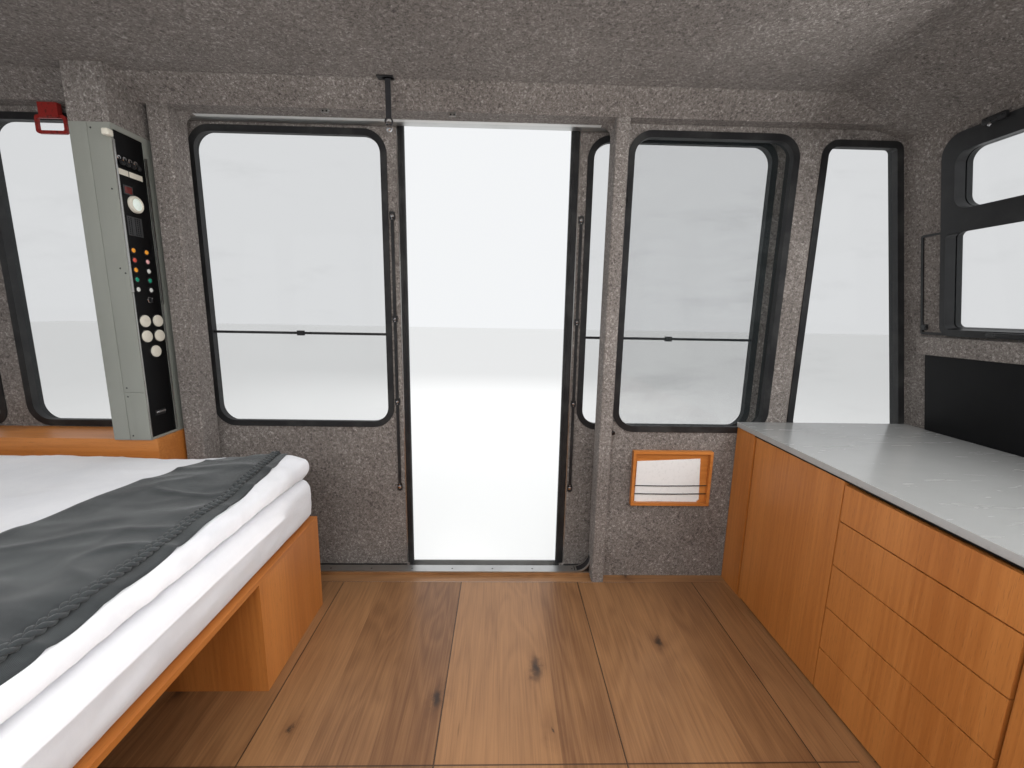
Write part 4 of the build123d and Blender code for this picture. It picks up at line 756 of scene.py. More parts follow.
@dataclass
class Studio:
    """Camera, floor, backdrop and lamps."""

    focal: float = 14.796
    eye: tuple[float, float, float] = (470.0, -836.0, 1374.0)
    yaw: float = 1.417  # to the right of +Y
    pitch: float = 9.753  # downwards
    roll: float = 1.033
    ground: float = -2.945
    daylight: float = 0.80
    white: float = 0.93

    def build(self) -> None:
        """Makes all of it."""
        bpy.context.scene.view_settings.view_transform = "Standard"
        self.camera()
        self.floor()
        self.world()
        self.lamp("sky", (0.5, 7.0, 2.2), (0.3, 0.6, -1.6), (6.0, 4.0), 170.0)
        self.lamp("sky_back", (-1.5, -6.0, 3.0), (0.0, 0.0, -1.4), (5.0, 4.0), 110.0)
        self.lamp("room", (0.35, -1.02, -0.86), (0.35, 0.9, -1.55), (3.2, 0.9), 24.0)
        self.lamp("room_top", (0.0, 0.10, -0.47), (0.0, 0.10, -2.7), (3.4, 1.4), 10.0)
        self.lamp("end_window", (2.05, -0.20, -0.95), (-0.50, 0.0, -2.60), (1.8, 0.7), 24.0)
        self.lamp("floor_front", (0.30, -1.05, -1.20), (0.25, 0.15, -2.72), (1.4, 0.5), 12.0)
        self.lamp("bounce", (0.0, 0.10, -2.15), (0.0, 0.10, 0.0), (1.8, 1.2), 7.0)
        LOG.info("studio ready")

    def camera(self) -> None:
        """Places the camera as the photograph was taken."""
        yaw, pitch, roll = (math.radians(a) for a in (self.yaw, self.pitch, self.roll))
        ahead = Vector((math.sin(yaw) * math.cos(pitch), math.cos(yaw) * math.cos(pitch), -math.sin(pitch)))
        level = Vector((math.cos(yaw), -math.sin(yaw), 0.0))
        upright = level.cross(ahead)
        right = level * math.cos(roll) + upright * math.sin(roll)
        up = upright * math.cos(roll) - level * math.sin(roll)
        turn = Matrix((right, up, -ahead)).transposed().to_4x4()
        data = bpy.data.cameras.new("photo_camera")
        data.lens = self.focal
        data.sensor_width = 36.0
        data.clip_start = 0.02
        eye = bpy.data.objects.new("photo_camera", data)
        place = Vector((self.eye[0], self.eye[1], self.eye[2] - BORE_HEIGHT)) / 1000
        eye.matrix_world = Matrix.Translation(place) @ turn
        bpy.context.scene.collection.objects.link(eye)
        bpy.context.scene.camera = eye

    def floor(self) -> None:
        """A large pale plane; its colour shows as white and still takes the cabin's shadow."""
        size = 40.0
        shape = Shape()
        corners = np.array([[-size, -size], [size, -size], [size, size], [-size, size]]) * 1000
        height = np.full((4, 1), self.ground * 1000 + BORE_HEIGHT)
        shape.add(np.hstack([corners, height]), np.array([[0, 1, 2, 3]]))
        floor = shape.object("studio_floor")
        graph = Graph("studio_floor")
        ray = graph.node("ShaderNodeLightPath")
        seen = Value(graph, ray.outputs["Is Camera Ray"]).most(
            Value(graph, ray.outputs["Is Transmission Ray"])
        )
        plain = graph.surface(Base_Color=(0.80, 0.80, 0.79), Roughness=0.9)
        glow = graph.surface(
            Base_Color=(0.80, 0.80, 0.79),
            Roughness=0.9,
            Emission_Color=(1.0, 1.0, 1.0),
            Emission_Strength=0.18,
        )
        mixed = graph.node("ShaderNodeMixShader", None, {0: seen, 1: plain, 2: glow}).outputs["Shader"]
        floor.data.materials.append(graph.finish(mixed))

    def world(self) -> None:
        """An even sky: a plain level for the light, near white where it is seen."""
        world = bpy.data.worlds.new("studio_sky")
        bpy.context.scene.world = world
        world.use_nodes = True
        tree = world.node_tree
        tree.nodes.clear()
        ray = tree.nodes.new("ShaderNodeLightPath")
        seen = tree.nodes.new("ShaderNodeMath")
        seen.operation = "MAXIMUM"
        tree.links.new(ray.outputs["Is Camera Ray"], seen.inputs[0])
        tree.links.new(ray.outputs["Is Transmission Ray"], seen.inputs[1])
        level = tree.nodes.new("ShaderNodeMapRange")
        level.inputs["To Min"].default_value = self.daylight
        level.inputs["To Max"].default_value = self.white
        tree.links.new(seen.outputs[0], level.inputs["Value"])
        sky = tree.nodes.new("ShaderNodeBackground")
        sky.inputs["Color"].default_value = (0.97, 0.985, 1.0, 1.0)
        tree.links.new(level.outputs["Result"], sky.inputs["Strength"])
        output = tree.nodes.new("ShaderNodeOutputWorld")
        tree.links.new(sky.outputs["Background"], output.inputs["Surface"])

    def lamp(
        self, name: str, place: Sequence[float], aim: Sequence[float], size: Sequence[float], power: float
    ) -> None:
        """An area lamp that the camera doesn't see.

        Args:
            name: its name.
            place: where it is, in the frame's metres.
            aim: the point that it faces.
            size: its width and height.
            power: watts.
        """
        data = bpy.data.lights.new(name, "AREA")
        data.shape = "RECTANGLE"
        data.size, data.size_y = size
        data.energy = power
        lamp = bpy.data.objects.new(name, data)
        lamp.location = place
        lamp.rotation_euler = (Vector(aim) - Vector(place)).to_track_quat("-Z", "Y").to_euler()
        lamp.visible_camera = lamp.visible_glossy = False
        bpy.context.scene.collection.objects.link(lamp)


# Surfaces


class Shape:
    """Vertices and faces in cabin millimetres, gathered until they become one mesh."""

    def __init__(self) -> None:
        """Starts empty."""
        self.points: list[np.ndarray] = []
        self.faces: list[np.ndarray] = []
        self.count = 0

    def add(self, points: np.ndarray, *faces: np.ndarray) -> "Shape":
        """Adds points and the faces between them.

        Args:
            points: an (n, 3) array.
            faces: integer arrays, one row per face, that count from these points' first.

        Returns:
            This shape.
        """
        self.points.append(np.asarray(points, float).reshape(-1, 3))
        self.faces += [np.asarray(rows, int) + self.count for rows in faces if len(rows)]
        self.count += len(self.points[-1])
        return self

    def mesh(self, name: str) -> bpy.types.Mesh:
        """One mesh in the frame's metres."""
        points = np.concatenate(self.points) / 1000
        points[:, 2] -= BORE_HEIGHT / 1000
        sizes = np.concatenate([np.full(len(rows), rows.shape[1]) for rows in self.faces])
        corners = np.concatenate([rows.ravel() for rows in self.faces])
        mesh = bpy.data.meshes.new(name)
        mesh.vertices.add(len(points))
        mesh.vertices.foreach_set("co", points.ravel())
        mesh.loops.add(len(corners))
        mesh.loops.foreach_set("vertex_index", corners)
        mesh.polygons.add(len(sizes))
        mesh.polygons.foreach_set("loop_start", np.concatenate([[0], np.cumsum(sizes)[:-1]]))
        mesh.update(calc_edges=True)
        mesh.validate()
        return mesh

    def object(self, name: str) -> bpy.types.Object:
        """An object at the origin with the shape's mesh."""
        made = bpy.data.objects.new(name, self.mesh(name))
        bpy.context.scene.collection.objects.link(made)
        return made

    def grid(self, points: np.ndarray, wrap: tuple[bool, bool] = (False, False)) -> "Shape":
        """Adds a surface given as rows and columns of points.

        Args:
            points: an (rows, columns, 3) array.
            wrap: whether the last row, and the last column, joins the first.

        Returns:
            This shape.
        """
        rows, columns = points.shape[:2]
        numbers = np.arange(rows * columns).reshape(rows, columns)
        if wrap[0]:
            numbers = np.concatenate([numbers, numbers[:1]], 0)
        if wrap[1]:
            numbers = np.concatenate([numbers, numbers[:, :1]], 1)
        quads = np.stack([numbers[:-1, :-1], numbers[:-1, 1:], numbers[1:, 1:], numbers[1:, :-1]], -1)
        return self.add(points, quads.reshape(-1, 4))

    def tube(self, path: np.ndarray, profile: np.ndarray, up: Sequence[float]) -> "Shape":
        """Carries a closed profile along a path and closes both ends.

        Each profile point lies `profile[:, 0]` along the path's side direction and `profile[:, 1]` along its upward
        one; the side direction is the path's direction crossed with `up`.

        Args:
            path: an (n, 3) array.
            profile: a (k, 2) array, or (n, k, 2) where it changes along the path.
            up: roughly which way the profile's second axis points.

        Returns:
            This shape.
        """
        ahead = np.gradient(path, axis=0)
        ahead /= np.linalg.norm(ahead, axis=1, keepdims=True)
        side = np.cross(ahead, np.asarray(up, float))
        side /= np.linalg.norm(side, axis=1, keepdims=True)
        rise = np.cross(side, ahead)
        turned = np.broadcast_to(profile, (len(path), *profile.shape[-2:]))
        rings = path[:, None] + turned[..., :1] * side[:, None] + turned[..., 1:] * rise[:, None]
        count = profile.shape[-2]
        self.grid(rings, (False, True))
        last = self.count - count
        first = self.count - count * len(path)
        self.faces += [np.arange(first, first + count)[None], np.arange(last, last + count)[None, ::-1]]
        return self

    def turned(
        self, outline: Sequence[
            Sequence[float]
        ], centre: Sequence[float], axis: Sequence[float], sides: int = 32, ring: bool = False
    ) -> "Shape":
        """Turns an outline about an axis and closes it at both ends, or joins its ends where it is a ring.

        Args:
            outline: rows of radius and distance along the axis, from one end to the other.
            centre: where the axis starts.
            axis: which way it points.
            sides: how many steps make a full turn.
            ring: whether the outline is closed in itself.

        Returns:
            This shape.
        """
        along = np.asarray(axis, float) / np.linalg.norm(axis)
        side = np.cross(along, (0.0, 0.0, 1.0) if abs(along[2]) < 0.9 else (1.0, 0.0, 0.0))
        side /= np.linalg.norm(side)
        rise = np.cross(along, side)
        angle = np.linspace(0, 2 * math.pi, sides, endpoint=False)
        spokes = np.cos(angle)[:, None] * side + np.sin(angle)[:, None] * rise
        radius, reach = np.asarray(outline, float).T
        points = np.asarray(centre, float) + reach[:, None, None] * along + radius[:, None, None] * spokes
        first = self.count
        self.grid(points, (ring, True))
        if ring:
            return self
        last = self.count - sides
        self.faces += [np.arange(first, first + sides)[None], np.arange(last, last + sides)[None, ::-1]]
        return self

    def block(
        self, low: Sequence[float], high: Sequence[float], radius: float, step: float | None = None
    ) -> "Shape":
        """A block with rounded edges: each point of a plain block's skin is drawn onto the rounded one.

        The nearest point of the block's core, the block less the radius all round, is found, and the skin lies
        one radius from it in the point's own direction.

        Args:
            low: its lowest corner.
            high: its highest corner.
            radius: the rounding of its edges.
            step: the spacing of its points; a third of the radius at the edges only, if left out.

        Returns:
            This shape.
        """
        low, high = np.asarray(low, float), np.asarray(high, float)
        radius = min(radius, float((high - low).min()) * 0.499)
        lines = []
        for start, end in zip(low, high):
            if step is None:
                bend = radius * np.array([0.0, 0.29, 0.62, 1.0])
                lines.append(np.concatenate([start + bend, end - bend[::-1]]))
            else:
                lines.append(np.linspace(start, end, max(4, int((end - start) / step) + 1)))
        points, quads, count = [], [], 0
        for axis in range(3):
            first, second = lines[(axis + 1) % 3], lines[(axis + 2) % 3]
            for value, flip in ((low[axis], True), (high[axis], False)):
                across, along = np.meshgrid(first, second, indexing="ij")
                patch = np.empty((*across.shape, 3))
                patch[..., axis] = value
                patch[..., (axis + 1) % 3] = across
                patch[..., (axis + 2) % 3] = along
                numbers = np.arange(across.size).reshape(across.shape) + count
                rows = np.stack(
                    [numbers[:-1, :-1], numbers[1:, :-1], numbers[1:, 1:], numbers[:-1, 1:]], -1
                )
                quads.append(rows.reshape(-1, 4)[:, ::-1] if flip else rows.reshape(-1, 4))
                points.append(patch.reshape(-1, 3))
                count += across.size
        skin = np.concatenate(points)
        core = np.clip(skin, low + radius, high - radius)
        away = skin - core
        skin = core + radius * away / np.maximum(np.linalg.norm(away, axis=1, keepdims=True), 1e-9)
        unique, inverse = np.unique(np.round(skin, 3), axis=0, return_inverse=True)
        faces = inverse.ravel()[np.concatenate(quads)]
        ordered = np.sort(faces, axis=1)
        whole = faces[(np.diff(ordered, axis=1) > 0).all(axis=1)]
        split = faces[(np.diff(ordered, axis=1) == 0).sum(axis=1) == 1]
        keep = np.stack([self._corners(row) for row in split]) if len(split) else np.empty((0, 3), int)
        return self.add(unique, whole, keep)

    @staticmethod
    def _corners(row: np.ndarray) -> np.ndarray:
        """The three different corners of a quad that has two in the same place, in order."""
        return row[np.sort(np.unique(row, return_index=True)[1])]

    def domes(self, centres: np.ndarray, axis: Sequence[float], radius: float, height: float) -> "Shape":
        """Many equal low domes, each a ring, a smaller ring and a top.

        Args:
            centres: an (n, 3) array.
            axis: which way they stand out.
            radius: of the foot.
            height: of the top.

        Returns:
            This shape.
        """
        along = np.asarray(axis, float) / np.linalg.norm(axis)
        side = np.cross(along, (0.0, 0.0, 1.0) if abs(along[2]) < 0.9 else (1.0, 0.0, 0.0))
        side /= np.linalg.norm(side)
        rise = np.cross(along, side)
        angle = np.linspace(0, 2 * math.pi, 10, endpoint=False)
        spokes = np.cos(angle)[:, None] * side + np.sin(angle)[:, None] * rise
        ring = np.concatenate(
            [spokes * radius, spokes * radius * 0.72 + along * height * 0.75, [along * height]]
        )
        around = np.arange(10)
        after = (around + 1) % 10
        quads = np.stack([around, after, after + 10, around + 10], 1)
        tops = np.stack([around + 10, after + 10, np.full(10, 20)], 1)
        shift = (np.arange(len(centres)) * 21)[:, None, None]
        points = np.asarray(centres, float)[:, None] + ring
        return self.add(points, (quads + shift).reshape(-1, 4), (tops + shift).reshape(-1, 3))


def outward(mesh: bpy.types.Mesh) -> None:
    """Turns the faces of closed shells outwards, shell by shell."""
    shell = bmesh.new()
    shell.from_mesh(mesh)
    bmesh.ops.recalc_face_normals(shell, faces=shell.faces)
    shell.to_mesh(mesh)
    shell.free()


def spread(first: float, last: float, pitch: float) -> np.ndarray:
    """Even places from first to last, about a pitch apart."""
    return np.linspace(first, last, max(2, round(abs(last - first) / pitch) + 1))


def crossed(x: Any, y: Any, z: Any) -> np.ndarray:
    """Every combination of places along X, Y and Z, as rows."""
    lines = [np.atleast_1d(np.asarray(line, float)) for line in (x, y, z)]
    return np.stack(np.meshgrid(*lines, indexing="ij"), -1).reshape(-1, 3)


def circle(radius: float, sides: int = 12, flat: float = 1.0) -> np.ndarray:
    """A circle's points, or an ellipse's whose second axis is `flat` times the first."""
    angle = np.linspace(0, 2 * math.pi, sides, endpoint=False)
    return np.stack([np.cos(angle) * radius, np.sin(angle) * radius * flat], 1)


def swell(points: np.ndarray, length: float, seed: int, waves: int = 14) -> np.ndarray:
    """A soft random height from -1 to 1: the mean of plane waves with seeded directions and phases.

    Args:
        points: an (n, 3) or (rows, columns, 3) array in millimetres.
        length: the middle wavelength.
        seed: picks the waves.
        waves: how many there are.

    Returns:
        The height at each point.
    """
    random = np.random.default_rng(seed)
    ways = random.normal(size=(waves, 3))
    ways /= np.linalg.norm(ways, axis=1, keepdims=True)
    ways *= (2 * math.pi / (length * random.uniform(0.6, 1.7, waves)))[:, None]
    return np.sin(points @ ways.T + random.uniform(0, 2 * math.pi, waves)).sum(-1) / (waves * 0.42)


def creases(points: np.ndarray, length: float, seed: int) -> np.ndarray:
    """Sharp folds: one less the size of a soft height, raised to a power, so that its zero lines stand up."""
    return np.clip(1.0 - np.abs(swell(points, length, seed)) * 1.6, 0.0, 1.0) ** 2.2


def hand_over(
    shape: Shape,
    name: str,
    finish: Finish,
    body: str = "cabin",
    replaces: Sequence[str] = (),
    smooth: float = 35.0,
    closed: bool = True,
) -> bpy.types.Object:
    """Makes a shape an object, finishes it and lets it ride on its body.

    Args:
        shape: the surface.
        name: the piece's name.
        finish: what it is made of.
        body: the CAD body that carries it.
        replaces: the nodes that it stands for.
        smooth: the angle in degrees below which edges look round.
        closed: whether it is made of closed shells.

    Returns:
        The object.
    """
    piece = shape.object(name)
    if closed:
        outward(piece.data)
    return settle(piece, finish, body, replaces, smooth)


def settle(
    piece: bpy.types.Object,
    finish: Finish,
    body: str = "cabin",
    replaces: Sequence[str] = (),
    smooth: float = 35.0,
) -> bpy.types.Object:
    """Finishes an object and lets it ride on its body; see hand_over for the arguments."""
    piece.data.materials.clear()
    piece.data.materials.append(finish.material())
    piece.data.shade_smooth()
    if smooth < 179:
        piece.data.set_sharp_from_angle(angle=math.radians(smooth))
    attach(piece, body)
    if replaces:
        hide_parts(*replaces)
    LOG.info("%s: %d faces", piece.name, len(piece.data.polygons))
    return piece


def inflate(piece: bpy.types.Object, voxel: float, spare: float, cap: float, frames: int = 20) -> None:
    """Swells a closed soft piece as cloth: remeshed evenly, with air pressure inside and a little spare cloth.

    The cloth may move no further than the cap from where it started, which keeps it in its solid's place.

    Args:
        piece: the closed mesh, replaced by the result.
        voxel: the remesh size in metres.
        spare: how much longer the cloth is than the shape, as a share.
        cap: the furthest that a point may move, in metres.
        frames: how long it is let swell.
    """
    bpy.context.view_layer.objects.active = piece
    remesh = piece.modifiers.new("even", "REMESH")
    remesh.mode = "VOXEL"
    remesh.voxel_size = voxel
    bpy.ops.object.modifier_apply(modifier=remesh.name)
    start = np.empty(len(piece.data.vertices) * 3)
    piece.data.vertices.foreach_get("co", start)
    start = start.reshape(-1, 3)
    cloth = piece.modifiers.new("air", "CLOTH")
    settings = cloth.settings
    settings.quality = 4
    settings.mass = 0.3
    settings.tension_stiffness = 12
    settings.compression_stiffness = 12
    settings.shear_stiffness = 5
    settings.bending_stiffness = 0.6
    settings.shrink_min = -spare
    settings.use_pressure = True
    settings.uniform_pressure_force = 4
    settings.effector_weights.gravity = 0
    cloth.point_cache.frame_start = 1
    cloth.point_cache.frame_end = frames
    for number in range(1, frames + 1):
        bpy.context.scene.frame_set(number)
    graph = bpy.context.evaluated_depsgraph_get()
    moved = np.empty_like(start.ravel())
    piece.evaluated_get(graph).data.vertices.foreach_get("co", moved)
    step = moved.reshape(-1, 3) - start
    size = np.linalg.norm(step, axis=1, keepdims=True)
    held = start + step * (cap * np.tanh(size / cap) / np.maximum(size, 1e-9))
    piece.modifiers.remove(cloth)
    bpy.context.scene.frame_set(1)
    piece.data.vertices.foreach_set("co", held.ravel())
    piece.data.update()


# Bedding


@dataclass
class Bedding:
    """The mattress in its sheet, the duvet over it and the braided throw across its foot."""

    head: float = -2359.9
    foot: float = -359.9
    near: float = -835.0
    far: float = 965.0
    platform: float = 443.0
    mattress_top: float = 640.0
    duvet_top: float = 745.0

    def build(self) -> None:
        """Makes the three pieces, each resting on the one below."""
        self.mattress()
        duvet = self.duvet()
        self.throw(duvet)

    def mattress(self) -> bpy.types.Object:
        """A foam block in a fitted sheet; its sides bulge, and long soft folds run along them.

        The sides swell outwards by a half sine over the height, and folds grow from the corners.
        """
        low = np.array([self.head + 3, self.near + 10, self.platform + 1.0])
        high = np.array([self.foot - 10, self.far - 10, self.mattress_top])
        shape = Shape().block(low, high, 42.0, 16.0)
        points = shape.points[0]
        share = np.clip((points[:, 2] - low[2]) / (high[2] - low[2]), 0, 1)
        outward = points[:, :2] - np.clip(points[:, :2], low[:2] + 60, high[:2] - 60)
        reach = np.linalg.norm(outward, axis=1, keepdims=True)
        way = outward / np.maximum(reach, 1e-9)
        folds = swell(
            points * np.array([0.25, 0.25, 1.0]), 55, 4
        ) * 2.4 + creases(points * np.array([0.3, 0.3, 1.0]), 90, 9) * 3.0
        bulge = np.sin(share * math.pi) * 7.0 + folds * np.sin(share * math.pi) ** 0.7
        points[:, :2] += way * (bulge * np.clip(reach[:, 0] / 60, 0, 1))[:, None]
        inside = 1 - np.clip(reach[:, 0] / 60, 0, 1)
        points[:, 2] -= inside * (share > 0.5) * (2.0 + swell(points, 300, 3) * 1.5)
        points[:, 2] = np.maximum(points[:, 2], self.platform + 0.6)
        piece = hand_over(shape, "mattress_sheet", LINEN, replaces=["mattress"], smooth=180)
        return piece

    def duvet(self) -> bpy.types.Object:
        """The duvet: a closed cover with little filling, swollen as cloth, then creased along its edges."""
        low = np.array([self.head + 20, self.near - 8, self.mattress_top + 6])
        high = np.array([self.foot + 8, self.far + 12, self.duvet_top - 16])
        shape = Shape().block(low, high, 40.0, 24.0)
        points = shape.points[0]
        share = (points[:, 2] - low[2]) / (high[2] - low[2])
        lumps = swell(
            points * np.array([1.0, 0.8, 0.2]), 420, 21
        ) * 7.0 + swell(points * np.array([0.6, 1.2, 0.2]), 190, 22) * 3.0
        points[:, 2] += lumps * np.clip(share, 0, 1)
        piece = shape.object("duvet_cover")
        inflate(piece, 0.015, 0.045, 0.018)
        self.crease(piece)
        smooth = piece.modifiers.new("round", "SUBSURF")
        smooth.levels = smooth.render_levels = 1
        bpy.context.view_layer.objects.active = piece
        bpy.ops.object.modifier_apply(modifier=smooth.name)
        settle(piece, LINEN, replaces=["duvet"], smooth=180)
        return piece

    def crease(self, piece: bpy.types.Object) -> None:
        """Adds sharp creases, strongest within a hand of the rim, and long faint ones on the top.

        The height is a crease pattern times a weight that falls off from the rim.

        Args:
            piece: the swollen duvet.
        """
        count = len(piece.data.vertices)
        flat = np.empty(count * 3)
        piece.data.vertices.foreach_get("co", flat)
        points = flat.reshape(-1, 3) * 1000 + np.array([0, 0, BORE_HEIGHT])
        normals = np.empty(count * 3)
        piece.data.vertices.foreach_get("normal", normals)
        normals = normals.reshape(-1, 3)
        rim = np.minimum.reduce(
            [self.foot + 15 - points[:, 0], points[:, 1] - self.near + 15, self.far + 20 - points[:, 1]]
        )
        near_rim = np.exp(-np.maximum(rim, 0) / 90)
        fine = creases(points * np.array([1.0, 0.55, 0.5]), 85, 31) * 9 + swell(points, 45, 32) * 2.0
        long = creases(
            points * np.array([0.35, 1.0, 0.3]), 260, 33
        ) * 4.5 + creases(points * np.array([0.5, 0.8, 0.3]), 150, 35) * 2.5
        upper = np.clip(normals[:, 2], 0, 1)
        height = fine * near_rim * (0.35 + 0.65 * np.abs(normals[:, 0] + normals[:, 1])) + long * upper
        points = points + normals * (height - 2.0)[:, None]
        points[:, 2] = np.clip(points[:, 2], self.mattress_top + 0.8, self.duvet_top + 8)
        points[:, 0] = np.minimum(points[:, 0], self.foot + 24)
        back = (points - np.array([0, 0, BORE_HEIGHT])) / 1000
        piece.data.vertices.foreach_set("co", back.ravel())
        piece.data.update()

    def throw(self, duvet: bpy.types.Object) -> None:
        """The throw, laid over the duvet: every point lies a thread above the duvet below it.

        Its edge towards the head runs at a slant, its foot edge is nearly straight, and a plait is sewn on near it.

        Args:
            duvet: the finished duvet.
        """
        ground = BVHTree.FromObject(duvet, bpy.context.evaluated_depsgraph_get())
        along = np.linspace(self.near + 32, self.far - 34, 190)
        depth = (self.far - 34 - along) / (self.far - self.near - 66)
        head = -690 - 245 * np.clip(depth * 2.1, 0, 1) ** 0.8 - 14 * np.sin(depth * 9.0)
        foot = -452 + 60 * np.clip(depth * 2.4, 0, 1) ** 0.7 + 5 * np.sin(depth * 14.0)
        share = np.linspace(0, 1, 56)
        x = head[:, None] + (foot - head)[:, None] * share
        y = np.broadcast_to(along[:, None], x.shape)
        folds = creases(
            np.stack([x * 0.5, y, y * 0], -1), 230, 51
        ) * 7 + swell(np.stack([x, y, y * 0], -1), 130, 52) * 1.5
        height = self.heights(ground, x, y) + 2.5 + np.clip(folds, 0, None)
        sheet = Shape().grid(np.stack([x, y, height], -1)[:, ::-1])
        piece = hand_over(
            sheet, "throw_cloth", THROW, replaces=["throw"], smooth=180, closed=False
        )
        wall = piece.modifiers.new("thick", "SOLIDIFY")
        wall.thickness = 0.0022
        wall.offset = 1.0
        plait = self.plait(ground, along, foot - 46)
        braid = hand_over(plait, "throw_plait", THROW, smooth=180)

    def plait(self, ground: BVHTree, along: np.ndarray, middle: np.ndarray) -> Shape:
        """Three strands that pass over and under each other.

        Strand k is across by a sine of the way along plus k thirds of a turn, and up by a sine of twice that.
        """
        steps = np.linspace(0, 1, 620)
        y = along[0] + (along[-1] - along[0]) * steps
        x = np.interp(y, along, middle)
        base = self.heights(ground, x[:, None], y[:, None])[:, 0] + 9.0
        shape = Shape()
        for strand in range(3):
            turn = 2 * math.pi * (y / 66.0 + strand / 3)
            path = np.stack([x + 10.5 * np.sin(turn), y, base + 4.2 * np.sin(2 * turn)], 1)
            shape.tube(path, circle(7.4, 8, 0.72), (0, 0, 1))
        return shape

    def heights(self, ground: BVHTree, x: np.ndarray, y: np.ndarray) -> np.ndarray:
        """The height of the duvet's top under each point, in millimetres above the floor."""
        found = [
            ground.ray_cast(Vector((a / 1000, b / 1000, 0.0)), Vector((0, 0, -1)))[0]
            for a, b in zip(x.ravel(), y.ravel())
        ]
        level = np.array([self.duvet_top if hit is None else hit.z * 1000 + BORE_HEIGHT for hit in found])
        return level.reshape(x.shape)


# Fittings inside


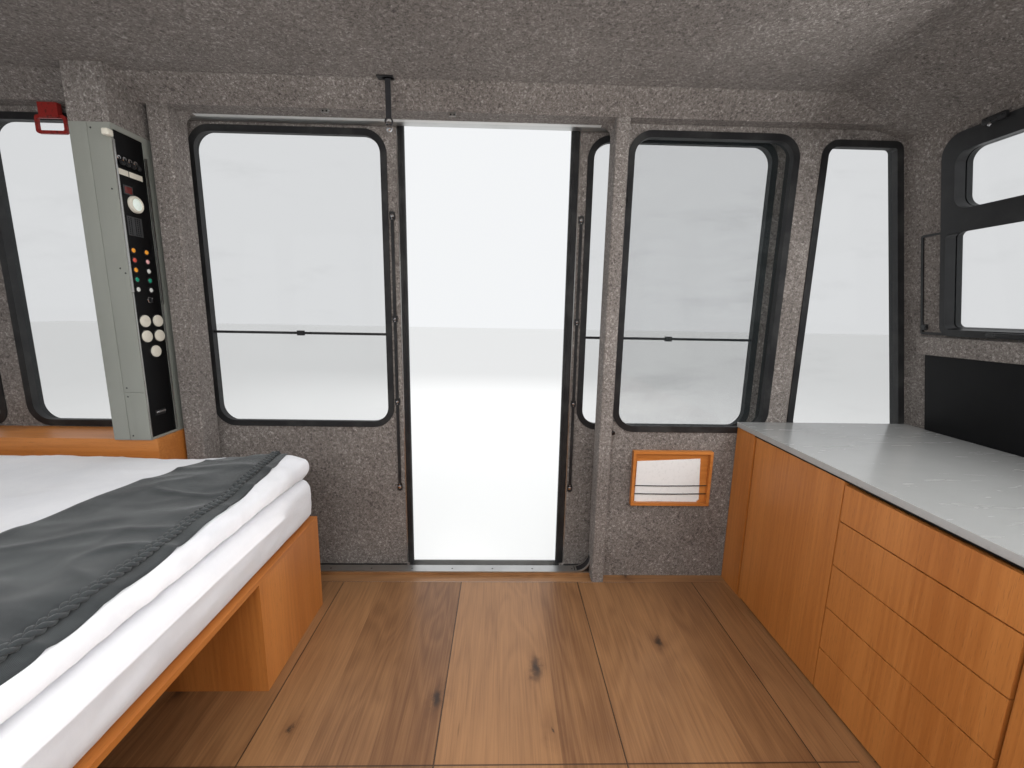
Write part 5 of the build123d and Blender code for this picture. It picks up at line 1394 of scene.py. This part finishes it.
@dataclass
class Console:
    """The instrument console: cover sheets, edge strips, push buttons, lamps, switches and speaking unit."""

    face: float = -1066.0
    near: float = 984.0
    foot: float = 800.0
    head: float = 2050.0
    front: float = 976.0
    left: float = -1220.0
    right: float = -1062.0
    seam: float = -1150.0
    split: float = 1002.0
    button_places: tuple[tuple[float, float], ...] = (
        (38, 506), (105, 506), (38, 441), (105, 441), (75, 374)
    )
    lamp_columns: tuple[float, float] = (25.0, 90.0)
    toggle_places: tuple[float, ...] = (14.0, 40.0, 66.0, 92.0)

    def build(self) -> None:
        """Makes all of it; the push buttons stand for the whole row of CAD controls."""
        self.push_buttons()
        self.signal_lamps()
        self.switches()
        self.speaking_unit()
        self.covers()

    def spot(self, across: float, height: float) -> np.ndarray:
        """A place on the panel: across from its near edge, and up from its foot or down from its head."""
        return np.array([self.face, self.near + across, (self.foot if height >= 0 else self.head) + height])

    def push_buttons(self) -> None:
        """Five large mushroom buttons, each in a black collar."""
        caps, collars = Shape(), Shape()
        for across, height in self.button_places:
            place = self.spot(across, height)
            caps.turned(
                [[22.5, 0], [25, 1.2], [25.4, 6.0], [24.2, 8.4], [20, 9.6], [10, 10], [0.8, 10]],
                place,
                (1, 0, 0),
                40,
            )
            collars.turned(
                [[23, 0], [28.2, 0], [28, 1.8], [26.5, 2.6], [23, 2.6]], place, (1, 0, 0), 40, ring=True
            )
        hand_over(caps, "console_buttons", IVORY, replaces=["console_controls"])
        hand_over(collars, "console_button_collars", BLACK_PLASTIC)

    def signal_lamps(self) -> None:
        """Two columns of domed lenses in black bezels; lenses of one colour make one piece."""
        rows = (
            (796.0, AMBER, AMBER),
            (757.0, RED_LENS, PINK_LENS),
            (717.5, AMBER, CLEAR_LENS),
            (678.5, GREEN_LENS, GREEN_LENS),
            (638.0, CLEAR_LENS, CLEAR_LENS),
        )
        bezels = Shape()
        lenses: dict[Finish, Shape] = {}
        for height, *colours in rows:
            for across, colour in zip(self.lamp_columns, colours):
                place = self.spot(across, height)
                bezels.turned(
                    [[9.6, 0], [12.8, 0], [12.8, 3.4], [11.6, 4.6], [9.6, 4.6]],
                    place,
                    (1, 0, 0),
                    24,
                    ring=True,
                )
                dome = [[9.5, 0.2], [9.5, 3.6], [8.2, 5.6], [5.2, 6.8], [0.8, 7.2]]
                lenses.setdefault(colour, Shape()).turned(dome, place, (1, 0, 0), 24)
        hand_over(bezels, "console_lamp_bezels", BLACK_PLASTIC)
        for colour, shape in lenses.items():
            hand_over(shape, "console_lamps_" + colour.name.split("_")[0], colour)

    def switches(self) -> None:
        """A key switch, four bat-handled toggles in steel nuts, and a catch at the foot."""
        bright, dark = Shape(), Shape()
        key = self.spot(79, 596)
        bright.turned(
            [[8.6, 0], [13.2, 0], [13.2, 3.2], [11.6, 4.8], [8.6, 4.8]], key, (1, 0, 0), ring=True
        )
        dark.turned([[8.6, 0.2], [8.4, 3.8], [0.8, 4.0]], key, (1, 0, 0))
        dark.block(key + (3, -3.4, -11), key + (13, 3.4, 11), 2.4)
        bright.block(key + (9, -1.4, 4), key + (13.6, 1.4, 10), 0.6)
        for across in self.toggle_places:
            place = self.spot(across, -99)
            bright.turned(
                [[4.4, 0], [9.4, 0], [9.4, 2.8], [7.8, 4.2], [4.4, 4.2]], place, (1, 0, 0), 24, ring=True
            )
            bat = [[3.4, 0.4], [3.8, 6], [6.6, 14], [8.2, 22], [7.6, 28], [4.8, 31.5], [0.8, 32.5]]
            dark.turned(bat, place, (0.56, 0.06, -0.83), 20)
        catch = self.spot(61, 105)
        bright.block(catch + (0, -25, -4), catch + (7, 25, 4), 1.6)
        dark.block(catch + (0, -28, -14), catch + (3, 28, 9), 1.4)
        hand_over(bright, "console_switch_rings", BRIGHT_STEEL)
        hand_over(dark, "console_switch_levers", BLACK_PLASTIC)

    def speaking_unit(self) -> None:
        """A large round lamp in an ivory ring, a display, blank strips and a voice grille whose holes are black
        domes of painted shade.
        """
        centre = self.spot(65, -266)
        ring = Shape().turned(
            [[24, 0], [34, 0], [34, 7.5], [31.5, 12], [27.5, 13.6], [24, 12.4]],
            centre,
            (1, 0, 0),
            48,
            ring=True,
        )
        for across, width in ((27.0, 50.0), (88.0, 64.0)):
            label = self.spot(across, -151)
            ring.block(label - (0, width / 2, 11), label + (1.8, width / 2, 11), 0.8)
        hand_over(ring, "console_ivory_trim", IVORY)
        lens = Shape().turned(
            [[23.8, 0.2], [23.8, 9.6], [17, 11.6], [8, 12.6], [0.8, 12.8]], centre, (1, 0, 0), 40
        )
        hand_over(lens, "console_round_lamp", LIT_LENS)
        screen = self.spot(41, -216)
        frame = Shape().block(screen - (0, 22, 18), screen + (1.8, 22, 18), 0.8)
        hand_over(
            Shape().block(screen - (0, 17, 13), screen + (2.6, 17, 13), 0.8),
            "console_display",
            DISPLAY,
        )
        plate = self.spot(53, -356)
        frame.block(plate - (0, 36, 38), plate + (1.6, 36, 38), 0.8)
        hand_over(frame, "console_grille_plate", PLATE_GREY)
        # The grille's holes are black domes on the plate: painted shade inside the holes.
        places = crossed(
            self.face + 1.6, plate[1] + np.array([-27, -17, 3, 13, 23]), plate[2] + np.linspace(-31, 31, 9)
        )
        hand_over(
            Shape().domes(places, (1, 0, 0), 3.1, 0.6), "console_grille_holes", BLACK_PANEL
        )

    def covers(self) -> None:
        """Painted covers with open joints, bright edge strips, an ivory stop and small screws."""
        y = self.front
        sheets = Shape()
        sheets.block((self.seam + 1.6, y - 2.6, self.split + 1.6), (self.right - 0.4, y + 0.4, 2066), 1.0)
        sheets.block((self.seam + 1.6, y - 2.6, 793), (self.right - 0.4, y + 0.4, self.split - 1.6), 1.0)
        sheets.block((self.left + 0.8, y - 1.8, 793), (self.seam - 1.6, y + 0.4, 2068), 0.8)
        hand_over(sheets, "console_covers", GREY_GREEN)
        strips = Shape()
        strips.block((-1064.5, 975.0, 1425), (-1058.5, 984.5, 2012), 1.2)
        strips.block((-1064.0, 978.5, 802), (-1060.5, 984.0, 1422), 1.0)
        strips.block((-1064.5, 1123.5, 1380), (-1058.5, 1132.5, 1988), 1.2)
        strips.block((-1064.0, 1123.5, 802), (-1060.5, 1128.5, 1377), 1.0)
        hand_over(strips, "console_edge_strips", EDGE_STEEL)
        hand_over(
            Shape().block((-1078, 948, 2016), (-1052, 977, 2041), 6.0),
            "console_stop",
            IVORY,
        )
        places = np.array(
            [
                [-1085, 1826],
                [-1095, 1520],
                [-1076, 1501],
                [-1136, 2048],
                [-1136, 1022],
                [-1136, 984],
                [-1136, 810],
            ]
        )
        centres = np.insert(places.astype(float), 1, y - 2.6, axis=1)
        hand_over(
            Shape().domes(centres, (0, -1, 0), 3.6, 1.6), "console_screws", DARK_STEEL
        )


@dataclass
class Fittings:
    """Coat hook, stop knob, brackets under the door's head, and the strap's plate and ball."""

    post: float = 1010.0
    lining: float = 1190.0
    soffit: float = 2206.0
    bracket_places: tuple[float, float] = (244.0, -295.0)

    def build(self) -> None:
        """Makes all of it."""
        dark = Shape()
        path = np.array([[0, 0], [6, -1.8], [12, -1.2], [16, 3], [17.4, 10], [17.2, 18], [16.6, 25]], float)
        path = np.stack([self.post + path[:, 0], np.full(7, 1170.0), 1865 + path[:, 1]], 1)
        dark.tube(path, circle(3.0, 10), (0, 1, 0))
        dark.block((self.post, 1163, 1853), (self.post + 2, 1177, 1888), 0.8)
        knob = [
            [9.5, 0],
            [9.5, 3.4],
            [5.6, 6.5],
            [5.4, 9.5],
            [10.4, 12.5],
            [12, 16],
            [11.2, 20],
            [7.5, 22],
            [0.8, 22.4],
        ]
        dark.turned(knob, (self.post + 15, self.lining, 788), (0, -1, 0))
        hand_over(dark, "hook_and_knob", DARK_STEEL, replaces=["wall_hooks"])
        self.head_brackets()
        self.strap()

    def head_brackets(self) -> None:
        """Two small steel saddles under the door's head, each with two black domes of painted shade for its holes.
        """
        saddles, holes = Shape(), Shape()
        for x in self.bracket_places:
            saddles.block((x - 15, 1130.5, self.soffit - 17), (x + 15, 1133, self.soffit), 1.0)
            saddles.block((x - 15, 1132, self.soffit - 2.6), (x + 15, 1149, self.soffit), 1.0)
            # Black domes where the holes are: painted shade inside them.
            places = crossed((x - 7.5, x + 7.5), 1130.5, self.soffit - 9)
            holes.domes(places, (0, -1, 0), 3.6, 0.5)
        hand_over(saddles, "head_brackets", ALUMINIUM)
        hand_over(holes, "head_bracket_holes", BLACK_PLASTIC)

    def strap(self) -> None:
        """A shackle round the strap's foot, a polished ball below it and a ceiling plate with its screw."""
        bright = Shape()
        bright.turned(
            [[8, -3.5], [11.5, -3.5], [12.2, 0], [11.5, 3.5], [8, 3.5]],
            (2, 1020.5, 2109),
            (0, 0.25, 1),
            28,
            ring=True,
        )
        turn = np.linspace(-math.pi / 2 + 0.06, math.pi / 2 - 0.06, 17)
        ball = np.stack([np.cos(turn), np.sin(turn)], 1) * 13.0
        bright.turned(ball, (2, 1020.5, 2092), (0, 0, 1))
        bright.domes(np.array([[-30.0, 1016.0, 2279.6]]), (0, 0, -1), 7.0, 4.0)
        hand_over(bright, "strap_ball", BRIGHT_STEEL)
        plate = Shape().block((-40, 1004, 2275), (26, 1040, 2280.4), 1.8)
        hand_over(plate, "strap_plate", BLACK_PLASTIC)


@dataclass
class Niche:
    """Blank cards in the framed pocket, held by two elastic bands."""

    left: float = 1150.0
    right: float = 1526.0
    foot: float = 423.0
    back: float = 1186.0

    def build(self) -> None:
        """Three cards, each a slightly curved sheet turned a little further, and two bands across them."""
        cards = Shape()
        for number, turn in enumerate((0.4, -1.6, -3.0)):
            cards.tube(*self.card(number, math.radians(turn)), (0, 1, 0))
        hand_over(cards, "niche_cards", CARD, replaces=["niche_card"])
        bands = Shape()
        for height in (510.0, 466.0):
            share = np.linspace(0, 1, 25)
            sag = 1.4 * np.sin(share * math.pi)
            path = np.stack(
                [self.left + (self.right - self.left) * share, 1180.2 - sag, height + 2 * share - sag], 1
            )
            bands.tube(path, circle(2.7, 10), (0, 0, 1))
        hand_over(bands, "niche_bands", BLACK_PLASTIC)

    def card(self, number: int, turn: float) -> tuple[np.ndarray, np.ndarray]:
        """A card as a thin profile carried upwards.

        The path leans by the turn and bows towards the room by a half sine over the height.

        Args:
            number: its place in the stack, from the front.
            turn: how far it is turned in the wall's plane, in radians.

        Returns:
            The path, and the profile carried along it.
        """
        share = np.linspace(0, 1, 12)
        height = 215.0 + number * 3
        x = 1322.0 + number * 4 + height * (share - 0.5) * math.sin(turn)
        y = self.back - 3.6 + number * 1.5 - 1.2 * np.sin(share * math.pi) * (number == 0)
        z = self.foot + 1 + number + height * share
        width = 162.0 - number
        profile = np.array([[-width, -0.5], [width, -0.5], [width, 0.5], [-width, 0.5]])
        return np.stack([x, np.broadcast_to(y, x.shape), z], 1), profile


@dataclass
class Counter:
    """The counter's pale edge band, the dark shadow strip under the worktop."""

    front: float = 1653.0
    half: float = 1183.0
    low: float = 825.0
    high: float = 850.0

    def build(self) -> None:
        """Makes the band and the strip."""
        band = Shape().block(
            (self.front - 1.4, -self.half, self.low + 1),
            (self.front + 0.4, self.half, self.high - 0.6),
            0.5,
        )
        hand_over(band, "worktop_edge_band", WORKTOP_EDGE)
        strip = Shape().block((1657.2, -self.half + 2, 817.6), (1659.4, self.half - 2, 824.8), 0.6)
        hand_over(strip, "worktop_shadow_strip", BLACK_PANEL)


# Doors


LEAVES = (
    ("leaf_front_right", 783.0, 1.0, 1.0, 38.0),
    ("leaf_front_left", -4.0, -1.0, 1.0, 27.0),
    ("leaf_back_right", 4.0, 1.0, -1.0, 27.0),
    ("leaf_back_left", -4.0, -1.0, -1.0, 27.0),
)


@dataclass
class LeafTrim:
    """A door leaf's small parts: screws on the lock rod's clips, edge flap and strip, and its outer pull."""

    body: str
    lead: float
    way: float
    side: float
    flap: float
    inner: float = 1300.0
    outer: float = 1340.0

    def build(self) -> None:
        """Makes the four pieces on the leaf's body."""
        large = self.spots((60.0,), 1287.0, (1815.0, 445.0))
        small = self.spots((60.0,), 1287.0, (1328.0, 908.0))
        dots = self.spots((60.0,), 1287.0, (1316.0, 896.0, 1800.0, 460.0))
        room = (0.0, -self.side, 0.0)
        bright = Shape().domes(
            large, room, 9.0, 2.0
        ).domes(small, room, 6.5, 1.8).domes(dots, room, 3.4, 1.4)
        hand_over(bright, self.body + "_clip_screws", BRIGHT_STEEL, self.body)
        flap = self.bar(15.0, self.flap, self.inner - 1.6, self.inner + 0.4, 0.0, 2290.0, 0.7)
        hand_over(flap, self.body + "_edge_flap", RUBBER, self.body)
        strip = self.bar(
            self.flap + 0.8, self.flap + 5.0, self.inner - 2.0, self.inner + 0.4, 4.0, 2286.0, 0.7
        )
        hand_over(strip, self.body + "_edge_strip", EDGE_STEEL, self.body)
        foot = self.bar(self.flap + 6.0, 1010.0, self.inner - 2.4, self.inner + 0.4, -28.0, -7.0, 1.0)
        hand_over(foot, self.body + "_foot_seal", RUBBER, self.body)
        self.pull()

    def spots(self, along: Sequence[float], out: float, heights: Sequence[float]) -> np.ndarray:
        """Places on the leaf: along from its leading edge, out from the cabin's middle, and up."""
        return crossed(self.lead + self.way * np.asarray(along), self.side * out, heights)

    def bar(
        self, start: float, end: float, near: float, far: float, low: float, high: float, radius: float
    ) -> Shape:
        """A rounded bar given by its reach along, out and up."""
        xs = sorted((self.lead + self.way * start, self.lead + self.way * end))
        ys = sorted((self.side * near, self.side * far))
        return Shape().block((xs[0], ys[0], low), (xs[1], ys[1], high), radius)

    def pull(self) -> None:
        """An upright pull outside: a bar that bends back to the leaf at both ends, on two round feet."""
        x = self.lead + self.way * 52
        turn = np.linspace(0, math.pi / 2, 7)
        low, high, reach, bend = 930.0, 1130.0, 38.0, 22.0
        out = np.concatenate(
            [[0], reach - bend + bend * np.sin(turn), (reach - bend + bend * np.sin(turn))[::-1], [0]]
        )
        up = np.concatenate(
            [[low], low + bend - bend * np.cos(turn), high - bend + bend * np.cos(turn[::-1]), [high]]
        )
        path = np.stack([np.full(len(out), x), self.side * (self.outer - 1 + out), up], 1)
        shape = Shape().tube(path, circle(8.0, 14), (1, 0, 0))
        for height in (low, high):
            foot = [[17, -0.5], [17, 2.2], [14.5, 3.6], [8, 4.2], [0.8, 4.2]]
            shape.turned(foot, (x, self.side * self.outer, height), (0, self.side, 0), 24)
        hand_over(shape, self.body + "_pull", BRIGHT_STEEL, self.body)


@dataclass
class Doorways:
    """Rounded corners of both doorways, the screws of their sills and a strip along the floor's border."""

    half: float = 950.0
    head: float = 2206.0
    sill: float = 20.0
    near: float = 1188.0
    far: float = 1244.0

    def build(self) -> None:
        """Felt fillets above, a bent bright plate over dark ones below, screws and the floor's strips."""
        above, below, under, screws, strips, riser = (Shape() for _ in range(6))
        for side in (1, -1):
            for way in (1, -1):
                self.fillet(above, way, side, self.head, -1, 46.0, 1191.0, 1239.0)
                self.fillet(under, way, side, self.sill, 1, 78.0, 1200.0, 1237.0)
                self.bend(below, way, side, 74.0, 4.5)
            xs = spread(-self.half + 104, self.half - 90, 206.0)
            screws.domes(crossed(xs, side * 1214.0, self.sill), (0, 0, 1), 4.4, 1.2)
            ys = sorted((side * 1186.0, side * 1190.0))
            riser.block((-self.half, ys[0], -0.6), (self.half, ys[1], 13.7), 0.8)
        for side, start in ((1, -1060.0), (-1, -2664.0)):
            ys = sorted((side * 1127.9, side * 1129.9))
            strips.block((start, ys[0], -1.4), (1609.8, ys[1], 1.1), 0.8)
        hand_over(strips, "floor_edge_strips", BRIGHT_STEEL)
        hand_over(riser, "doorway_oak_risers", OAK_BORDER)
        hand_over(under, "doorway_corner_blocks", DARK_STEEL)
        hand_over(above, "doorway_felt_corners", FELT)
        hand_over(below, "doorway_sill_corners", ALUMINIUM)
        hand_over(screws, "sill_screws", DARK_STEEL)

    def fillet(
        self, shape: Shape, way: int, side: int, height: float, up: int, radius: float, near: float, far: float
    ) -> None:
        """Fills a corner up to a quarter circle that touches both its sides.

        Args:
            shape: takes the fillet.
            way: which end of the doorway, along X.
            side: which side of the cabin.
            height: the corner's own height.
            up: which way the opening lies from the corner.
            radius: of the quarter circle.
            near: where it starts, out from the cabin's middle.
            far: where it ends.
        """
        turn = np.linspace(0, math.pi / 2, 13)
        x = self.half - radius + radius * np.sin(turn)
        z = radius - radius * np.cos(turn)
        across = np.concatenate([x, [self.half + 1.5, self.half + 1.5, self.half - radius]])
        rise = np.concatenate([z, [radius, -1.5, -1.5]])
        profile = np.stack([across * way, rise * up], 1)
        path = np.array([[0, side * near, height], [0, side * far, height]])
        shape.tube(path, profile * (side, 1), (0, 0, 1))

    def bend(self, shape: Shape, way: int, side: int, radius: float, thick: float) -> None:
        """A plate bent through a quarter circle, from the sill up to the post.

        Args:
            shape: takes the plate.
            way: which end of the doorway, along X.
            side: which side of the cabin.
            radius: of its upper face.
            thick: its thickness.
        """
        turn = np.linspace(0, math.pi / 2, 15)
        arcs = []
        for reach, row in ((radius, turn), (radius + thick, turn[::-1])):
            x = self.half - radius + reach * np.sin(row)
            arcs.append(np.stack([way * x, radius - reach * np.cos(row)], 1))
        profile = np.concatenate(arcs) + (0, 0.6)
        path = np.array([[0, side * self.near, self.sill], [0, side * self.far, self.sill]])
        shape.tube(path, profile * (side, 1), (0, 0, 1))


@dataclass
class EndWindow:
    """The latches and turn buttons of one end window, with their screws."""

    side: int
    foot: float = 2670.0
    slope: float = 0.18

    def build(self) -> None:
        """Blocks for the latches and buttons, and a bright screw by each upper latch."""
        dark, bright = Shape(), Shape()
        boxes = (
            ((19.0, 770.0, 2098.0), (37.0, 849.0, 2122.0), 5.0),
            ((19.0, -849.0, 2098.0), (37.0, -770.0, 2122.0), 5.0),
            ((19.0, 690.0, 1314.0), (33.0, 815.0, 1330.0), 4.0),
            ((5.0, 1070.0, 1326.0), (17.0, 1096.0, 1352.0), 4.0),
            ((5.0, -1096.0, 1326.0), (17.0, -1070.0, 1352.0), 4.0),
        )
        for low, high, radius in boxes:
            dark.block(low, high, radius)
        for y in (816.0, -816.0):
            bright.turned([[6.5, 0], [6.5, 5.0], [4.5, 7.5], [0.8, 8.2]], (37.0, y, 2092.0), (1, 0, 0), 20)
        for shape in (dark, bright):
            shape.points = [self.leaned(points) for points in shape.points]
        name = "end_window_right" if self.side > 0 else "end_window_left"
        hand_over(dark, name + "_latches", BLACK_PLASTIC)
        hand_over(bright, name + "_latch_screws", BRIGHT_STEEL)

    def leaned(self, points: np.ndarray) -> np.ndarray:
        """Carries points from (inwards from the lining, Y, height) onto the leaning wall."""
        share = 1 / math.hypot(1, self.slope)
        x = self.foot - self.slope * points[:, 2] - points[:, 0] * share
        z = points[:, 2] - points[:, 0] * share * self.slope
        return np.stack([self.side * x, points[:, 1], z], 1)


# Outside


@dataclass
class Outside:
    """What is fixed on outside: seams, rivets, rub rails, gutters, roof strips, eyes, tray and bolts."""

    skin: float = 1240.0
    end_foot: float = 2720.8
    slope: float = 0.18
    roof: float = 2405.0
    door_edge: float = 1120.0
    seam: float = 1855.0

    def build(self) -> None:
        """Makes all of it."""
        self.sides()
        self.ends()
        self.roof_fittings()
        self.hatch()
        self.frame_bolts()
        self.underside()

    def end(self, z: Any) -> Any:
        """How far the end wall's skin is from the middle at height z."""
        return self.end_foot - self.slope * np.asarray(z)

    def sides(self) -> None:
        """Rivets along the foot, under the windows and along the head, and rub rails between them."""
        rivets, rails, seams = Shape(), Shape(), Shape()
        for side in (1, -1):
            out = (0, side, 0)
            for way in (1, -1):
                for z in (-52.0, 742.0, 2285.0):
                    reach = float(self.end(z)) - 40
                    rivets.domes(
                        crossed(way * spread(self.door_edge, reach, 82.0), side * self.skin, z),
                        out,
                        5.2,
                        2.4,
                    )
                columns = way * np.array([self.seam - 20, self.seam + 20])
                rivets.domes(crossed(columns, side * self.skin, spread(20.0, 2190.0, 95.0)), out, 5.2, 2.4)
                xs = sorted((way * (self.door_edge + 30), way * (float(self.end(360.0)) - 36)))
                ys = sorted((side * (self.skin - 0.5), side * (self.skin + 14)))
                rails.block((xs[0], ys[0], 322), (xs[1], ys[1], 382), 6.0)
                xs = sorted((way * (self.seam - 2), way * (self.seam + 2)))
                ys = sorted((side * (self.skin - 0.5), side * (self.skin + 1.6)))
                seams.block((xs[0], ys[0], -74), (xs[1], ys[1], 2290), 0.7)
                z = np.array([-76.0, 2300.0])
                corner = np.stack([way * (self.end(z) - 6), np.full(2, side * (self.skin - 4.0)), z], 1)
                angle = np.array([[-9, -8], [9, -8], [9, 8], [-9, 8]], float)
                seams.tube(corner, angle, (0, 1, 0))
        hand_over(rivets, "side_rivets", ALUMINIUM, smooth=60)
        hand_over(rails, "rub_rails", RUBBER)
        hand_over(seams, "side_seam_strips", ALUMINIUM)

    def ends(self) -> None:
        """Rivet rows and a rub rail on each end wall, all leaning with it."""
        rivets, rails = Shape(), Shape()
        for way in (1, -1):
            out = (way, 0, self.slope)
            for z in (-50.0, 1240.0, 2270.0):
                rivets.domes(crossed(way * self.end(z), spread(-1190.0, 1190.0, 85.0), z), out, 5.2, 2.4)
            for y in (-1205.0, 1205.0):
                z = spread(20.0, 2200.0, 95.0)
                rivets.domes(np.stack([way * self.end(z), np.full(len(z), y), z], 1), out, 5.2, 2.4)
            z = 352.0
            path = np.array(
                [[way * (float(self.end(z)) + 6), -1180.0, z], [way * (float(self.end(z)) + 6), 1180.0, z]]
            )
            profile = np.array([[-7, -30], [5, -30], [7, -26], [7, 26], [5, 30], [-7, 30]], float)
            rails.tube(path, profile, (0, 0, 1))
        hand_over(rivets, "end_rivets", ALUMINIUM, smooth=60)
        hand_over(rails, "end_rub_rails", RUBBER)

    def roof_fittings(self) -> None:
        """Walkway grit strips beside the roof frame, gutters over the doors and four lifting eyes."""
        strips, gutters, eyes = Shape(), Shape(), Shape()
        for x in spread(-2050.0, -1150.0, 300.0):
            strips.block((x - 110, -210, self.roof - 0.5), (x + 110, 210, self.roof + 2.2), 1.0)
        for side in (1, -1):
            path = crossed((-1996.0, 1996.0), side * 1357.0, 2338.0)
            profile = np.array(
                [[-8, -4], [8, -4], [8, 8], [5.5, 8], [5.5, -1.5], [-8, -1.5]], float
            ) * (-side, 1)
            gutters.tube(path, profile, (0, 0, 1))
            for x in (-1850.0, 1950.0):
                turn = np.linspace(0, math.pi, 15)
                ring = np.stack(
                    [x + 30 * np.cos(turn), np.full(15, side * 520.0), self.roof + 34 * np.sin(turn) - 1], 1
                )
                eyes.tube(ring, circle(6.5, 10), (0, 1, 0))
                eyes.block(
                    (x - 52, side * 520 - 22, self.roof - 0.5),
                    (x + 52, side * 520 + 22, self.roof + 5),
                    2.0,
                )
        hand_over(strips, "roof_grit_strips", BLACK_PANEL)
        hand_over(gutters, "door_gutters", ALUMINIUM)
        hand_over(eyes, "lifting_eyes", ZINC)

    def hatch(self) -> None:
        """A bow handle and two clips on the hatch, riding with it."""
        shape = Shape()
        turn = np.linspace(0, math.pi, 17)
        low = np.array([1225.0, 0.0, 2469.0])
        bow = np.stack([np.full(17, low[0]), 62 * np.cos(turn), low[2] + 26 * np.sin(turn) ** 0.7], 1)
        shape.tube(bow, circle(5.5, 10), (1, 0, 0))
        for y in (-62.0, 62.0):
            shape.turned([[13, 0], [13, 2.4], [10, 4], [0.8, 4]], (low[0], y, low[2]), (0, 0, 1), 20)
        hand_over(shape, "hatch_handle", BRIGHT_STEEL, "roof_hatch")
        rivets = Shape().domes(
            crossed(spread(1180.0, 1720.0, 90.0), (-268.0, 268.0), 2469.6), (0, 0, 1), 5.0, 2.2
        )
        hand_over(rivets, "hatch_rivets", ALUMINIUM, "roof_hatch", smooth=60)

    def frame_bolts(self) -> None:
        """Hexagon bolts on the roof frame's pads, the lugs' feet and the guide rails' outriggers."""
        bolt = [[13, 0], [13, 2.5], [10.5, 2.5], [10.5, 10.5], [9.5, 12], [0.8, 12]]
        shape = Shape()
        for x in (-900.0, -300.0, 300.0, 900.0):
            for side in (1, -1):
                for along in (-62.0, 62.0):
                    for out in (-50.0, 50.0):
                        place = (x + along, side * 300 + out, self.roof + 20)
                        shape.turned(bolt, place, (0, 0, 1), 6)
        for x in (-180.0, 180.0):
            for y in (-112.0, 112.0):
                shape.turned(bolt, (x, y, self.roof + 120), (0, 0, 1), 6)
        hand_over(shape, "roof_frame_bolts", ZINC, smooth=25)
        bush = Shape()
        for side in (1, -1):
            ring = [[30, 0], [46, 0], [46, 5], [43, 7], [30, 7]]
            bush.turned(ring, (0, side * 94.6, 2720), (0, side, 0), 40, ring=True)
        hand_over(bush, "hanger_bushes", BRIGHT_STEEL)

    def underside(self) -> None:
        """A cable tray under the floor, hung from every second cross beam."""
        tray = Shape()
        profile = np.array(
            [[-60, 0], [60, 0], [60, 34], [57, 34], [57, 3], [-57, 3], [-57, 34], [-60, 34]], float
        )
        tray.tube(crossed((-1900.0, 1900.0), 0.0, -178.0), profile, (0, 0, 1))
        for x in spread(-1762.7, 1762.7, 881.3):
            tray.block((x - 14, -66, -144.4), (x + 14, 66, -139.6), 1.0)
        hand_over(tray, "cable_tray", ZINC)


def main() -> None:
    """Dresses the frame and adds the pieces."""
    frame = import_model()
    Studio().build()
    dress_nodes(frame["nodes"])
    Bedding().build()
    for part in (Console(), Fittings(), Niche(), Counter(), Doorways(), Outside()):
        part.build()
    for row in LEAVES:
        LeafTrim(*row).build()
    for side in (1, -1):
        EndWindow(side).build()


if __name__ == "__main__":
    main()
